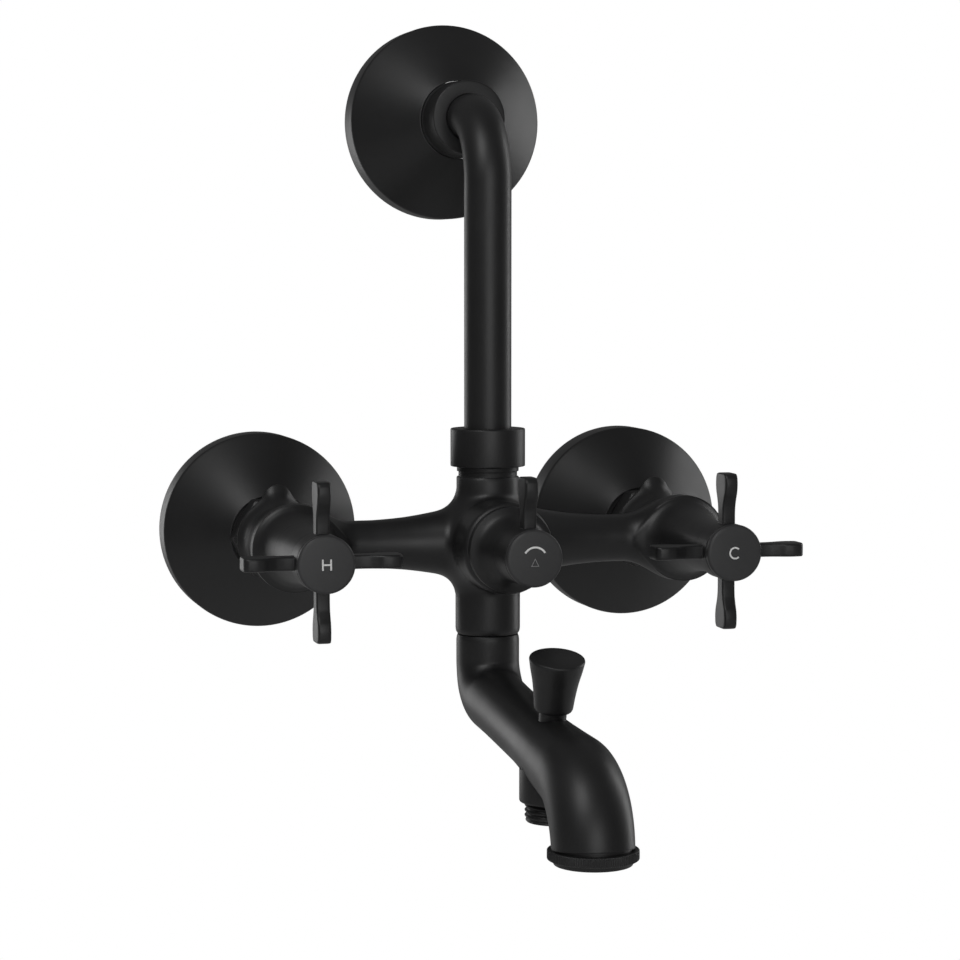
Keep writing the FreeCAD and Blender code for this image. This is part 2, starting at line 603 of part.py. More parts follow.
def build_spout():
    swivel = at(0, AXIS_DEPTH, 0)
    outlet = at(0, SPOUT_REACH, 0)
    hand = at(0, OUTLET_DEPTH, 0)
    grub_base = at(0, AXIS_DEPTH, -39.8)
    knob_base, down = knob_axis()

    nipple = lathe([
        (6.0, SWIVEL_END), (SWIVEL_RADIUS - 0.3, SWIVEL_END), (SWIVEL_RADIUS, SWIVEL_END + 0.3),
        (SWIVEL_RADIUS, -43.2), (7.2, -43.2), (7.2, -42.0), (SWIVEL_RADIUS, -42.0),
        (SWIVEL_RADIUS, -41.2), (7.2, -41.2), (7.2, -38.4),
        (SWIVEL_RADIUS, -38.4), (SWIVEL_RADIUS, -37.6), (7.2, -37.6), (7.2, -36.4), (SWIVEL_RADIUS, -36.4),
        (SWIVEL_RADIUS, BARREL_BOTTOM), (8.0, BARREL_BOTTOM), (8.0, -21.0), (6.0, -21.0),
    ], swivel, UP)
    keep("spout_swivel_nipple", nipple)
    o_rings = [tube(SWIVEL_RADIUS + 0.02, 7.25, low, low + 1.1, swivel, UP) for low in (-43.15, -37.55)]
    keep("spout_o_rings", Part.makeCompound(o_rings))

    outer = spout_tube(0.0)
    boss = rod(OUTLET_BOSS_RADIUS, OUTLET_BOSS_END, -66.0, hand, UP)
    boss = boss.makeFillet(0.8, [e for e in boss.Edges if abs(e.BoundBox.ZMax - OUTLET_BOSS_END) < 0.01])
    lip = rod(13.0, -91.4, SPOUT_END + 0.5, outlet, UP)
    sleeve = rod(SWIVEL_RADIUS + 2.4, FIRST_BEND_START, SPOUT_TOP, swivel, UP)
    floor = rod(10.4, OUTLET_BOSS_END + 3.0, OUTLET_BOSS_END + 8.0, hand, UP)
    floor = floor.common(spout_tube(SPOUT_WALL / 2))
    port_start = knob_base + down * (SEAT_TOP + 3.5)
    port = hand + UP * (OUTLET_BOSS_END + 4.6) - port_start
    cuts = [
        rod(SWIVEL_RADIUS + RUN, FIRST_BEND_START, SPOUT_TOP + 1, swivel, UP),
        rod(9.0, OUTLET_BOSS_END - 1, OUTLET_BOSS_END + 4.6, hand, UP),
        rod(12.3, -92.0, -84.0, outlet, UP),
        rod(4.8, KNOB_LENGTH, SPOT_FACE, knob_base, down),
        rod(4.0, SPOT_FACE - 1, 30.0, knob_base, down),
        rod(4.4, SEAT_TOP - 1, SEAT_TOP + 3.5, knob_base, down),
        rod(3.6, 0, port.Length, port_start, port),
        rod(2.0 + FIT, 7.0, 14.0, grub_base, BACK),
    ]
    casting = joined([outer, boss, lip]).cut([spout_tube(SPOUT_WALL)])
    casting = casting.fuse(valve_webs(knob_base, down) + [sleeve, floor]).cut(cuts)
    keep("bath_spout", casting)
    grub_screw = lathe([
        (0, 7.4), (1.1, 7.4), (1.1, 8.4), (2.0, 8.8), (2.0, 11.4), (0.9, 11.4), (0.9, 10.2), (0, 10.2),
    ], grub_base, BACK)
    keep("spout_grub_screw", grub_screw)

    keep("plunger_gland", lathe([
        (STEM_RADIUS + RUN, KNOB_LENGTH + 0.3), (4.8, KNOB_LENGTH + 0.3), (4.8, SPOT_FACE),
        (4.0 - FIT, SPOT_FACE),
        (4.0 - FIT, 27.6), (STEM_RADIUS + RUN, 27.6),
    ], knob_base, down))
    keep("pull_knob", lathe([
        (0, 0), (9.3, 0), (9.8, 0.5), [(9.2, 4.0), (8.1, 9.0), (7.3, 14.0), (6.9, KNOB_LENGTH - 0.9)],
        (6.1, KNOB_LENGTH), (STEM_RADIUS, KNOB_LENGTH), (STEM_RADIUS, 10.0), (0, 10.0),
    ], knob_base, down))
    disc_bottom = DISC_TOP + DISC_THICKNESS
    keep("plunger_stem", lathe([
        (0, 10.0), (STEM_RADIUS, 10.0), (STEM_RADIUS, DISC_TOP), (1.4, DISC_TOP), (1.4, disc_bottom),
        (0, disc_bottom),
    ], knob_base, down))
    keep("plunger_valve_disc", tube(5.9, 1.4, DISC_TOP, disc_bottom, knob_base, down))

    nipple_bore = 6.6
    keep("hand_shower_nipple", lathe([
        (nipple_bore, -77.4), (9.0 - FIT, -77.4), (9.0 - FIT, OUTLET_BOSS_END),
        (PIPE_THREAD - 0.5, OUTLET_BOSS_END), (PIPE_THREAD, OUTLET_BOSS_END - 0.5),
        (PIPE_THREAD, OUTLET_END + 0.8), (PIPE_THREAD - 0.8, OUTLET_END),
        (nipple_bore, OUTLET_END),
    ], hand, UP))
    cage = tube(nipple_bore - FIT, 4.2, -84.5, -77.8, hand, UP)
    spider = [Part.makeBox(9.4, 1.2, 1.0, at(-4.7, OUTLET_DEPTH + 0.6, -84.5)),
              Part.makeBox(1.2, 9.4, 1.0, at(-0.6, OUTLET_DEPTH + 4.7, -84.5))]
    keep("hand_shower_check_valve", joined([cage] + spider))

    ring_profile = [
        (13.05, AERATOR_TOP), (AERATOR_RADIUS - 0.5, AERATOR_TOP), (AERATOR_RADIUS, AERATOR_TOP - 0.5),
        (AERATOR_RADIUS, AERATOR_STEP + 0.5), (AERATOR_RADIUS - 0.6, AERATOR_STEP),
        (13.6, AERATOR_STEP - 0.1),
        (13.3, AERATOR_STEP - 0.6), (13.0, AERATOR_END), (10.6, AERATOR_END), (10.6, -91.6), (13.05, -91.6),
    ]
    housing = lathe(ring_profile, outlet, UP)
    grooves = []
    for index in range(KNURL_COUNT):
        corner = FreeCAD.Vector(AERATOR_RADIUS - 0.14, -0.18, AERATOR_STEP + 0.1)
        groove = Part.makeBox(0.5, 0.36, 3.2, corner)
        groove.rotate(FreeCAD.Vector(), UP, 360.0 * index / KNURL_COUNT)
        groove.translate(outlet)
        grooves.append(groove)
    keep("aerator_housing", housing.cut(Part.makeCompound(grooves)))
    keep("aerator_washer", tube(12.2, 8.6, -85.6, -84.0, outlet, UP))
    insert = rod(12.2, -91.55, -85.6, outlet, UP).cut(rod(9.8, -92.0, -88.5, outlet, UP))
    jets = [rod(0.7, -89.0, -85.0, outlet + FreeCAD.Vector(6.5 * math.cos(a), 6.5 * math.sin(a), 0), UP)
            for a in (math.radians(30 * i) for i in range(12))]
    keep("aerator_insert", insert.cut(jets))
    pitch, width, bottom = 1.5, 0.4, -91.3
    mesh_bars = []
    for index in range(-6, 7):
        side = pitch * index - width / 2
        half = math.sqrt(9.7 ** 2 - (pitch * abs(index) + width / 2) ** 2)
        mesh_bars.append(Part.makeBox(width, 2 * half, 0.5, outlet + FreeCAD.Vector(side, -half, bottom)))
        mesh_bars.append(Part.makeBox(2 * half, width, 0.5, outlet + FreeCAD.Vector(-half, side, bottom)))
    rim = tube(9.75, 9.2, -91.5, -90.6, outlet, UP)
    keep("aerator_mesh", joined([rim] + mesh_bars))


build_wall_side()
build_body()
for side_name, side_x in SIDES.items():
    side_valve(side_name, side_x)
diverter()
build_riser()
build_spout()

os.makedirs("parts", exist_ok=True)
for part_name, part_shape in parts.items():
    part_shape.exportStep(os.path.join("parts", part_name + ".step"))
    print(part_name, "solids", len(part_shape.Solids), "valid", part_shape.isValid())
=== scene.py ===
import json
import math
from itertools import product

import bmesh
import bpy
import numpy as np
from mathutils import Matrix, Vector


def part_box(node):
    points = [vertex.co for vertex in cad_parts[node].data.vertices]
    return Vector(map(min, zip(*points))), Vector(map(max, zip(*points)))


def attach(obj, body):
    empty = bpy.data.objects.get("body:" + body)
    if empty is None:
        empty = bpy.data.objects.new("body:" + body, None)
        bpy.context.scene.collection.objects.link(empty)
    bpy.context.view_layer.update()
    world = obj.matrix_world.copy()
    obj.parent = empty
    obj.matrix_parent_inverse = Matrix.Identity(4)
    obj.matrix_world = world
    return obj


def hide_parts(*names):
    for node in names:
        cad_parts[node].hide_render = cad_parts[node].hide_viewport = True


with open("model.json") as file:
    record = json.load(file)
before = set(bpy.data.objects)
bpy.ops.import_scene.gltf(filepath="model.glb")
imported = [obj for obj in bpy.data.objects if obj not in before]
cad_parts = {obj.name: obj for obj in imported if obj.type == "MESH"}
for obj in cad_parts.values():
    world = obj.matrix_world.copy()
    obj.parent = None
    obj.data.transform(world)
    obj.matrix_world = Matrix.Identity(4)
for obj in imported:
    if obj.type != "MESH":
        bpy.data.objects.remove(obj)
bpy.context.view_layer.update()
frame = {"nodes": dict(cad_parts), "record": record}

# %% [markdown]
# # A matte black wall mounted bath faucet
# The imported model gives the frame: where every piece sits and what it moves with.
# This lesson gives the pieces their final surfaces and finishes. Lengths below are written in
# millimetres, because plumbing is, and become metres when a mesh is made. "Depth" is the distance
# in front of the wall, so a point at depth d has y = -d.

MM = 0.001
RECORD = frame["record"]

# %% [markdown]
# ## Places
# Positions come from the frame, so that the pieces follow if the model behind it changes. The box
# of a turned piece gives its axis and both of its ends.

# %% Axes read from the frame
def node_box(node):
    """Lowest and highest corner of a node as (x, depth, z) in millimetres, depth growing forwards."""
    low, high = (np.array(corner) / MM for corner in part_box(node))
    return np.array([low[0], -high[1], low[2]]), np.array([high[0], -low[1], high[2]])


def middle(node):
    """Centre of a node's box, as (x, depth, z)."""
    low, high = node_box(node)
    return (low + high) / 2


HOT_X = middle("hot_index_cap")[0]
COLD_X = middle("cold_index_cap")[0]
BODY_DEPTH = middle("riser_union_nut")[1]
RISER_TOP = middle("upper_wall_flange")[2]
CAP_FRONT = node_box("hot_index_cap")[1][1]
OUTLET_DEPTH = middle("aerator_housing")[1]
HAND_DEPTH = middle("hand_shower_nipple")[1]
print("inlets at x", round(HOT_X, 2), round(COLD_X, 2), "body axis at depth", round(BODY_DEPTH, 2))

# %% [markdown]
# ## From numbers to a mesh
# A turned or swept piece is a grid of points: one index runs along the profile or the path, the
# other runs round it. Whole arrays are worked out at once and handed to the mesh in one call.
# A lathe in the mesh editor would do the same for one piece, but a grid can also be bent, knurled or
# threaded by changing one formula.

# %% Grid and mesh helpers
def to_frame(points):
    """(x, depth, z) in millimetres becomes (x, y, z) in metres."""
    points = np.asarray(points, dtype=float)
    return np.stack([points[..., 0], -points[..., 1], points[..., 2]], axis=-1) * MM


def grid_faces(rows, columns, loop_rows=False):
    """Quads of a grid whose columns close on themselves, and whose rows do too if loop_rows."""
    last = rows if loop_rows else rows - 1
    i, j = np.meshgrid(np.arange(last), np.arange(columns), indexing="ij")
    i2, j2 = (i + 1) % rows, (j + 1) % columns
    quads = np.stack([i * columns + j, i * columns + j2, i2 * columns + j2, i2 * columns + j], -1)
    return quads.reshape(-1, 4)


def make_piece(name, points, faces, body, material, slot, replaces=(), sharp_degrees=38.0):
    """A mesh object at the origin, merged, turned outwards, smooth but for its sharp edges."""
    mesh = bpy.data.meshes.new(name)
    mesh.from_pydata(to_frame(points).reshape(-1, 3).tolist(), [], np.asarray(faces).tolist())
    work = bmesh.new()
    work.from_mesh(mesh)
    bmesh.ops.remove_doubles(work, verts=work.verts, dist=0.002 * MM)
    bmesh.ops.dissolve_degenerate(work, edges=work.edges, dist=0.0005 * MM)
    bmesh.ops.recalc_face_normals(work, faces=work.faces)
    work.to_mesh(mesh)
    work.free()
    mesh.polygons.foreach_set("use_smooth", np.ones(len(mesh.polygons), dtype=bool))
    mesh.set_sharp_from_angle(angle=math.radians(sharp_degrees))
    piece = bpy.data.objects.new(name, mesh)
    bpy.context.scene.collection.objects.link(piece)
    mesh.materials.append(material)
    if replaces:
        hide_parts(*replaces)
    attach(piece, body)
    print(f"{name}: {len(mesh.vertices)} points, {len(mesh.polygons)} faces")
    return piece


# %% Profiles and turned pieces
def rounded(corners, radius=0.35, steps=5):
    """Closed outline with every corner replaced by an arc-like quadratic curve.

    Corners are (radius, along) pairs, or (radius, along, own rounding). A curve point at share t is
    (1-t)^2 * start + 2t(1-t) * corner + t^2 * end, where start and end lie on the two sides."""
    count = len(corners)
    flat = np.array([corner[:2] for corner in corners], dtype=float)
    pieces = []
    share = np.linspace(0, 1, steps)[:, None]
    for index in range(count):
        here, before, after = flat[index], flat[index - 1], flat[(index + 1) % count]
        wanted = corners[index][2] if len(corners[index]) > 2 else radius
        back, ahead = before - here, after - here
        reach = min(wanted, 0.45 * np.linalg.norm(back), 0.45 * np.linalg.norm(ahead))
        start = here + back / np.linalg.norm(back) * reach
        end = here + ahead / np.linalg.norm(ahead) * reach
        pieces.append((1 - share) ** 2 * start + 2 * share * (1 - share) * here + share ** 2 * end)
    return np.concatenate(pieces)


def flow(value, knots):
    """Smooth curve through (position, height) knots that never overshoots them: cubic pieces, with
    each inner slope the harmonic mean of its two chords, or level where the chords disagree."""
    x, y = np.array(knots, dtype=float).T
    chord = np.diff(y) / np.diff(x)
    product_of_chords = chord[:-1] * chord[1:]
    total = np.where(product_of_chords > 0, chord[:-1] + chord[1:], 1.0)
    inner = np.where(product_of_chords > 0, 2 * product_of_chords / total, 0.0)
    slope = np.concatenate([chord[:1], inner, chord[-1:]])
    value = np.clip(value, x[0], x[-1])
    i = np.clip(np.searchsorted(x, value) - 1, 0, len(x) - 2)
    width = x[i + 1] - x[i]
    t = (value - x[i]) / width
    return ((2 * t ** 3 - 3 * t ** 2 + 1) * y[i] + (t ** 3 - 2 * t ** 2 + t) * width * slope[i]
            + (3 * t ** 2 - 2 * t ** 3) * y[i + 1] + (t ** 3 - t ** 2) * width * slope[i + 1])


def curve_points(knots, count=24):
    """(height, position) points along flow, ready for an outline of (radius, along) pairs."""
    along = np.linspace(knots[0][0], knots[-1][0], count)
    return np.stack([flow(along, knots), along], axis=-1)


FORWARD = np.array([0.0, 1.0, 0.0])
UP = np.array([0.0, 0.0, 1.0])


def side_axes(axis):
    """Two directions square to the axis and to each other."""
    axis = np.asarray(axis, dtype=float) / np.linalg.norm(axis)
    first = np.cross(axis, [1.0, 0.0, 0.0])
    first /= np.linalg.norm(first)
    return axis, first, np.cross(axis, first)


def turned(outline, base, axis, around=128, ripple=None):
    """Outline carried round an axis: base + along * axis + radius * (cos a * first + sin a * second).

    ripple, if given, changes the radius as a function of (radius, along, angle)."""
    axis, first, second = side_axes(axis)
    angle = np.linspace(0, 2 * np.pi, around, endpoint=False)[None, :]
    radius = np.repeat(outline[:, :1], around, axis=1)
    along = np.repeat(outline[:, 1:2], around, axis=1)
    if ripple is not None:
        radius = ripple(radius, along, np.broadcast_to(angle, radius.shape))
    points = (np.asarray(base, dtype=float) + along[..., None] * axis
              + radius[..., None] * (np.cos(angle)[..., None] * first + np.sin(angle)[..., None] * second))
    return points.reshape(-1, 3), grid_faces(len(outline), around, loop_rows=True)


def combined(*parts):
    """Several (points, faces) pairs as one."""
    points, faces, start = [], [], 0
    for part_points, part_faces in parts:
        points.append(part_points)
        faces.append(np.asarray(part_faces) + start)
        start += len(part_points)
    return np.concatenate(points), np.concatenate(faces)


# %% [markdown]
# ## Finishes
# The faucet is brass under a matte black powder coat. The coat is never one flat colour: it has a
# very fine orange-peel bump and broad, faint changes of gloss where it was wiped. Its edges also carry a
# painted
# highlight: they are painted a little lighter. Noise on Object coordinates gives the first two, and a
# bevel-normal compared with the real normal finds the edges, so the painted highlight follows the shape and
# not the view.

# %% Material helpers
def node_material(name, metallic, specular, coat=0.0):
    """Material with a principled shader whose uniform values sit on its own sockets."""
    material = bpy.data.materials.new(name)
    material.use_nodes = True
    shader = material.node_tree.nodes["Principled BSDF"]
    shader.inputs["Metallic"].default_value = metallic
    shader.inputs["Specular IOR Level"].default_value = specular
    shader.inputs["Coat Weight"].default_value = coat
    return material, material.node_tree.nodes, material.node_tree.links, shader


def noise(nodes, links, coordinates, scale, detail=4.0, roughness=0.6):
    texture = nodes.new("ShaderNodeTexNoise")
    texture.inputs["Scale"].default_value = scale
    texture.inputs["Detail"].default_value = detail
    texture.inputs["Roughness"].default_value = roughness
    links.new(coordinates, texture.inputs["Vector"])
    return texture.outputs["Fac"]


def spread(nodes, links, source, low, high, start=0.3, end=0.7):
    """Maps the source's start to end onto low to high."""
    node = nodes.new("ShaderNodeMapRange")
    for socket, value in (("From Min", start), ("From Max", end), ("To Min", low), ("To Max", high)):
        node.inputs[socket].default_value = value
    links.new(source, node.inputs["Value"])
    return node.outputs["Result"]


def blend_colour(nodes, links, factor, first, second):
    node = nodes.new("ShaderNodeMix")
    node.data_type = "RGBA"
    links.new(factor, node.inputs["Factor"])
    for socket, colour in ((node.inputs[6], first), (node.inputs[7], second)):
        if isinstance(colour, tuple):
            socket.default_value = (*colour, 1.0)
        else:
            links.new(colour, socket)
    return node.outputs[2]


def edge_mask(nodes, links, radius):
    """1 on the flats and less on the edges: rounded normal dotted with the true one."""
    bevel = nodes.new("ShaderNodeBevel")
    bevel.inputs["Radius"].default_value = radius
    bevel.samples = 4
    geometry = nodes.new("ShaderNodeNewGeometry")
    dot = nodes.new("ShaderNodeVectorMath")
    dot.operation = "DOT_PRODUCT"
    links.new(bevel.outputs["Normal"], dot.inputs[0])
    links.new(geometry.outputs["Normal"], dot.inputs[1])
    return dot.outputs["Value"], bevel.outputs["Normal"]


def finish_material(name, colour, painted_edge_colour, roughness, metallic=0.0, specular=0.5, grain=9000.0, bump=0.02,
                    painted_edge_strength=0.6, broad=28.0):
    """A coated or machined surface: grain bump, broad gloss changes, mottled colour and a painted highlight,
    a lighter colour on the edges.
    """
    material, nodes, links, shader = node_material(name, metallic, specular)
    coordinates = nodes.new("ShaderNodeTexCoord").outputs["Object"]
    fine = noise(nodes, links, coordinates, grain, 2.0)
    wide = noise(nodes, links, coordinates, broad, 5.0)
    edges, round_normal = edge_mask(nodes, links, 0.35 * MM)
    # Painted highlight: a lighter colour is mixed into the base colour along the edges, where the bevel
    # normal leaves the true one.
    painted_edge_share = spread(nodes, links, edges, painted_edge_strength, 0.0, 0.90, 0.995)
    darker = tuple(0.82 * channel for channel in colour)
    lighter = tuple(1.18 * channel for channel in colour)
    mottled = blend_colour(nodes, links, spread(nodes, links, wide, 0.0, 1.0), darker, lighter)
    links.new(blend_colour(nodes, links, painted_edge_share, mottled, painted_edge_colour), shader.inputs["Base Color"])
    links.new(spread(nodes, links, wide, roughness - 0.04, roughness + 0.05), shader.inputs["Roughness"])
    relief = nodes.new("ShaderNodeBump")
    relief.inputs["Strength"].default_value = 0.25
    relief.inputs["Distance"].default_value = bump * MM
    links.new(fine, relief.inputs["Height"])
    links.new(round_normal, relief.inputs["Normal"])
    links.new(relief.outputs["Normal"], shader.inputs["Normal"])
    return material


# %% The finishes
# The second colour given to each finish is its painted edge highlight, lighter than the surface itself.
BLACK = (0.0080, 0.0080, 0.0084)
matte_black = finish_material("matte_black_coat", BLACK, (0.035, 0.035, 0.036), 0.42, painted_edge_strength=0.5)
cap_black = finish_material("index_cap_coat", (0.030, 0.030, 0.031), (0.07, 0.07, 0.07), 0.46, painted_edge_strength=0.5)
brass = finish_material("machined_brass", (0.60, 0.42, 0.19), (0.75, 0.58, 0.32), 0.30, 1.0,
                        grain=3000.0, broad=120.0)
steel = finish_material("stainless_steel", (0.50, 0.50, 0.51), (0.70, 0.70, 0.71), 0.28, 1.0,
                        grain=4000.0, broad=150.0)
ceramic = finish_material("lapped_ceramic", (0.80, 0.78, 0.74), (0.88, 0.87, 0.84), 0.18,
                          grain=6000.0, bump=0.005)
rubber = finish_material("seal_rubber", (0.016, 0.016, 0.016), (0.03, 0.03, 0.03), 0.70, specular=0.3)
plastic = finish_material("aerator_plastic", (0.55, 0.56, 0.58), (0.66, 0.67, 0.69), 0.45)
print_white = finish_material("index_print", (0.86, 0.86, 0.85), (0.90, 0.90, 0.89), 0.50,
                              bump=0.01, painted_edge_strength=0.2)
print_grey = finish_material("index_print_grey", (0.30, 0.30, 0.30), (0.36, 0.36, 0.36), 0.50,
                             bump=0.01, painted_edge_strength=0.2)

FINISH = {
    "matte_black": matte_black,
    "index_cap_black": cap_black,
    "brass": brass,
    "stainless_steel": steel,
    "valve_ceramic": ceramic,
    "seal_rubber": rubber,
    "aerator_plastic": plastic,
}
print("finishes:", ", ".join(sorted(FINISH)))

# %% [markdown]
# Every carried-over node keeps its own shape and takes the finish that its record slot names. The
# legs and the spout's swivel nipple are brass too, but a sliver of each shows between black pieces,
# so they get the black coat.

# %% Finishes on the carried-over nodes
COATED_ENDINGS = ("connecting_leg", "swivel_nipple")
for subpart in RECORD["subparts"]:
    node = frame["nodes"][subpart["node"]]
    node.data.materials.clear()
    coated = subpart["node"].endswith(COATED_ENDINGS)
    node.data.materials.append(matte_black if coated else FINISH[subpart["material_slot"]])
print(len(RECORD["subparts"]), "nodes carry a finish")

# %% [markdown]
# ## Wall covers
# Three alike cover plates are spun from thin brass: a straight rim against the wall, then a shallow
# cone. They are turned from one closed outline, with both skins, so that the hollow behind is real.

# %% Wall flanges
COVER_RIM = 12.2
COVER_WALL = 1.6


def wall_flange(side):
    low, high = node_box(side + "_wall_flange")
    centre = middle(side + "_wall_flange")
    outer = (high[0] - low[0]) / 2 - 0.02
    depth = high[1]
    hole = 14.9
    outline = rounded([
        (outer, 0.0, 0.2), (outer, COVER_RIM, 0.9), (15.4, depth, 0.5), (hole, depth, 0.2),
        (hole, depth - COVER_WALL, 0.2), (outer - COVER_WALL, 10.7, 0.5), (outer - COVER_WALL, 0.0, 0.2),
    ])
    points, faces = turned(outline, (centre[0], 0.0, centre[2]), FORWARD, around=192)
    return make_piece(side + "_wall_cover", points, faces, "fixed", matte_black, "matte_black",
                      [side + "_wall_flange"])


for side in ("hot", "cold", "upper"):
    wall_flange(side)

# %% [markdown]
# ## Body casting
# The casting flows: arms swell into the centre and into the valve housings with soft hollow
# fillets, while the rims stay crisp. A lathe gives crisp rims but no fillets, and a distance field
# gives fillets but blurs rims, so the casting uses both. The housings, barrel and boss are turned.
# The arms and all the fillets are a field: each shape gives, at any point, about how far it is to its
# surface, and a smooth minimum of two distances melts them together over a chosen width. In the field
# the turned shapes are a hair smaller, so that the field's skin only shows where the fillets rise.
# The zero level is covered with quads, one point in each grid cell that the surface crosses.

# %% Distance field helpers
def melt(first, second, width):
    """Smooth minimum: where both distances are within the width, a quarter of it is added."""
    share = np.clip(0.5 + 0.5 * (second - first) / width, 0, 1)
    return second + (first - second) * share - width * share * (1 - share)


def shaft(across, along, start, end, knots, inset=0.0):
    """Turned shape: distance across the axis less the radius from the knots, shortened on slopes."""
    radius = flow(along, knots) - inset
    step = 0.05
    slope = (flow(along + step, knots) - flow(along - step, knots)) / (2 * step)
    side = (across - radius) / np.sqrt(1 + slope ** 2)
    return np.maximum(side, np.maximum(start - along, along - end))


def skin(field, low, step):
    """Surface nets: one point in each crossed cell, at the mean of its edge crossings, and one quad
    round each crossed edge. Worked out with whole-array shifts."""
    inside = field < 0
    cells = tuple(size - 1 for size in field.shape)

    def corner(array, offset):
        return array[tuple(slice(o, o + size) for o, size in zip(offset, cells))]

    filled = sum(corner(inside, offset).astype(np.int8) for offset in product((0, 1), repeat=3))
    active = (filled > 0) & (filled < 8)
    number = np.full(cells, -1)
    number[active] = np.arange(active.sum())
    place = np.stack(np.nonzero(active), axis=-1).astype(float)
    total, hits = np.zeros_like(place), np.zeros(len(place))
    for axis in range(3):
        for offset in product((0, 1), repeat=3):
            if offset[axis]:
                continue
            beyond = tuple(o + (i == axis) for i, o in enumerate(offset))
            first, second = corner(field, offset)[active], corner(field, beyond)[active]
            crossed = (first < 0) != (second < 0)
            share = np.where(crossed, first / np.where(crossed, first - second, 1.0), 0.0)
            at = place + np.array(offset)
            at[:, axis] += share
            total += at * crossed[:, None]
            hits += crossed
    points = low + total / hits[:, None] * step
    quads = []
    for axis in range(3):
        b, c = (axis + 1) % 3, (axis + 2) % 3
        here = np.moveaxis(inside, (axis, b, c), (0, 1, 2))
        table = np.moveaxis(number, (axis, b, c), (0, 1, 2))
        first, second = here[:-1, 1:-1, 1:-1], here[1:, 1:-1, 1:-1]
        i, j, k = np.nonzero(first != second)
        quad = np.stack([table[i, j, k], table[i, j + 1, k], table[i, j + 1, k + 1], table[i, j, k + 1]], -1)
        outward = first[i, j, k][:, None]
        quads.append(np.where(outward, quad, quad[:, ::-1]))
    return points, np.concatenate(quads)


def settle(points, distance, rounds=3, step=0.02):
    """Newton steps onto the zero level: each point moves back by distance times direction."""
    for _ in range(rounds):
        gradient = np.stack([
            (distance(points + shift) - distance(points - shift)) / (2 * step)
            for shift in np.eye(3) * step
        ], axis=-1)
        length = np.maximum(np.sum(gradient ** 2, axis=-1), 0.2)
        move = distance(points)[:, None] * gradient / length[:, None]
        points = points - np.clip(move, -0.3, 0.3)
    return points


# %% The casting's shapes, as knots of (along, radius)
ARM = [(0, 14.2), (9, 13.6), (18, 12.1), (26, 10.7), (33, 9.75), (40, 9.2), (46, 8.95), (52, 8.95), (58, 9.5),
       (64, 10.8), (70, 12.2)]
BARREL = [(-34.6, 11.4), (-33.9, 11.9), (-32.4, 12.15), (-14, 12.15), (14, 11.75), (24.1, 11.75),
          (24.5, 11.5)]
BOSS = [(60.2, 1.0), (61.4, 6.5), (65.5, 12.3), (71.5, 15.8), (78, 17.0), (104.4, 17.0), (105.6, 16.8),
        (106.5, 16.4), (107, 15.6)]
BELL = [(49.7, 15.6), (51.0, 14.5), (54, 13.3), (58, 12.8), (64, 12.9), (70, 13.5), (76, 14.7), (79.5, 15.7),
        (81.2, 16.2)]
SHROUD = [(85.7, 15.9), (86.3, 15.0), (87.6, 13.9), (90, 12.9), (94, 11.9), (100, 10.9), (108, 10.0),
          (118, 9.5), (127, 9.4)]
HOUSING_WAIST = [(49.7, 14.6)] + BELL[2:] + [(85.5, 15.6)] + SHROUD[2:]
INSET = 0.12


def casting(points):
    """Distance to the fillets and arms: arms, barrel, boss and housings melted together, bores cut."""
    x, depth, z = points[..., 0], points[..., 1], points[..., 2]
    down = depth - BODY_DEPTH
    from_middle = np.abs(x)
    arm = shaft(np.hypot(down, z), from_middle, -1.0, 70.0, ARM)
    barrel = shaft(np.hypot(x, down), z, -34.2, 24.2, BARREL, INSET)
    boss = shaft(np.hypot(x, z), depth, 60.2, 104.0, BOSS, INSET)
    across = np.hypot(from_middle - COLD_X, z)
    housing = shaft(across, depth, 50.0, 100.0, HOUSING_WAIST, INSET)
    body = melt(melt(melt(arm, barrel, 9.0), boss, 3.5), housing, 8.0)
    for cut in bores(from_middle, depth, z, down, across):
        body = np.maximum(body, -cut)
    return body


def bores(from_middle, depth, z, down, across):
    """Waterways, valve chambers and threads, as distances to cut away."""
    def hole(radial, radius, along, start, end):
        return np.maximum(radial - radius, np.maximum(start - along, along - end))

    yield hole(across, 6.6, depth, 40.0, 66.0)
    yield hole(across, 10.1, depth, 64.0, 86.0)
    yield hole(across, 8.8, depth, 85.0, 130.0)
    yield hole(np.hypot(down, z), 6.5, from_middle, -1.0, 67.0)
    yield hole(np.hypot(from_middle, down), 8.2, z, -40.0, 40.0)
    yield hole(np.hypot(from_middle, z), 12.1, depth, 68.0, 110.0)


# %% Turned shells of the casting
LUG = [(0, 5.1), (5, 4.95), (9.6, 4.3), (13.7, 3.3), (18.0, 1.95), (24.0, 0.85), (31.0, 0.25),
       (38.5, 0.0), (180, 0.0)]
LUG_FADE = [(48.2, 1.0), (49.7, 1.0), (51.5, 0.74), (54.0, 0.50), (57.5, 0.27), (62.0, 0.09), (68.0, 0.0)]


def lugged(radius, along, angle):
    """Adds the lug: its rise at that angle from the top, fading forwards along the neck."""
    from_top = np.degrees(np.abs((angle - LUG_ANGLE + np.pi) % (2 * np.pi) - np.pi))
    return np.where(radius > 10.5, radius + flow(from_top, LUG) * flow(along, LUG_FADE), radius)


LUG_ANGLE = math.atan2(*(np.dot(axis, UP) for axis in side_axes(FORWARD)[:0:-1]))


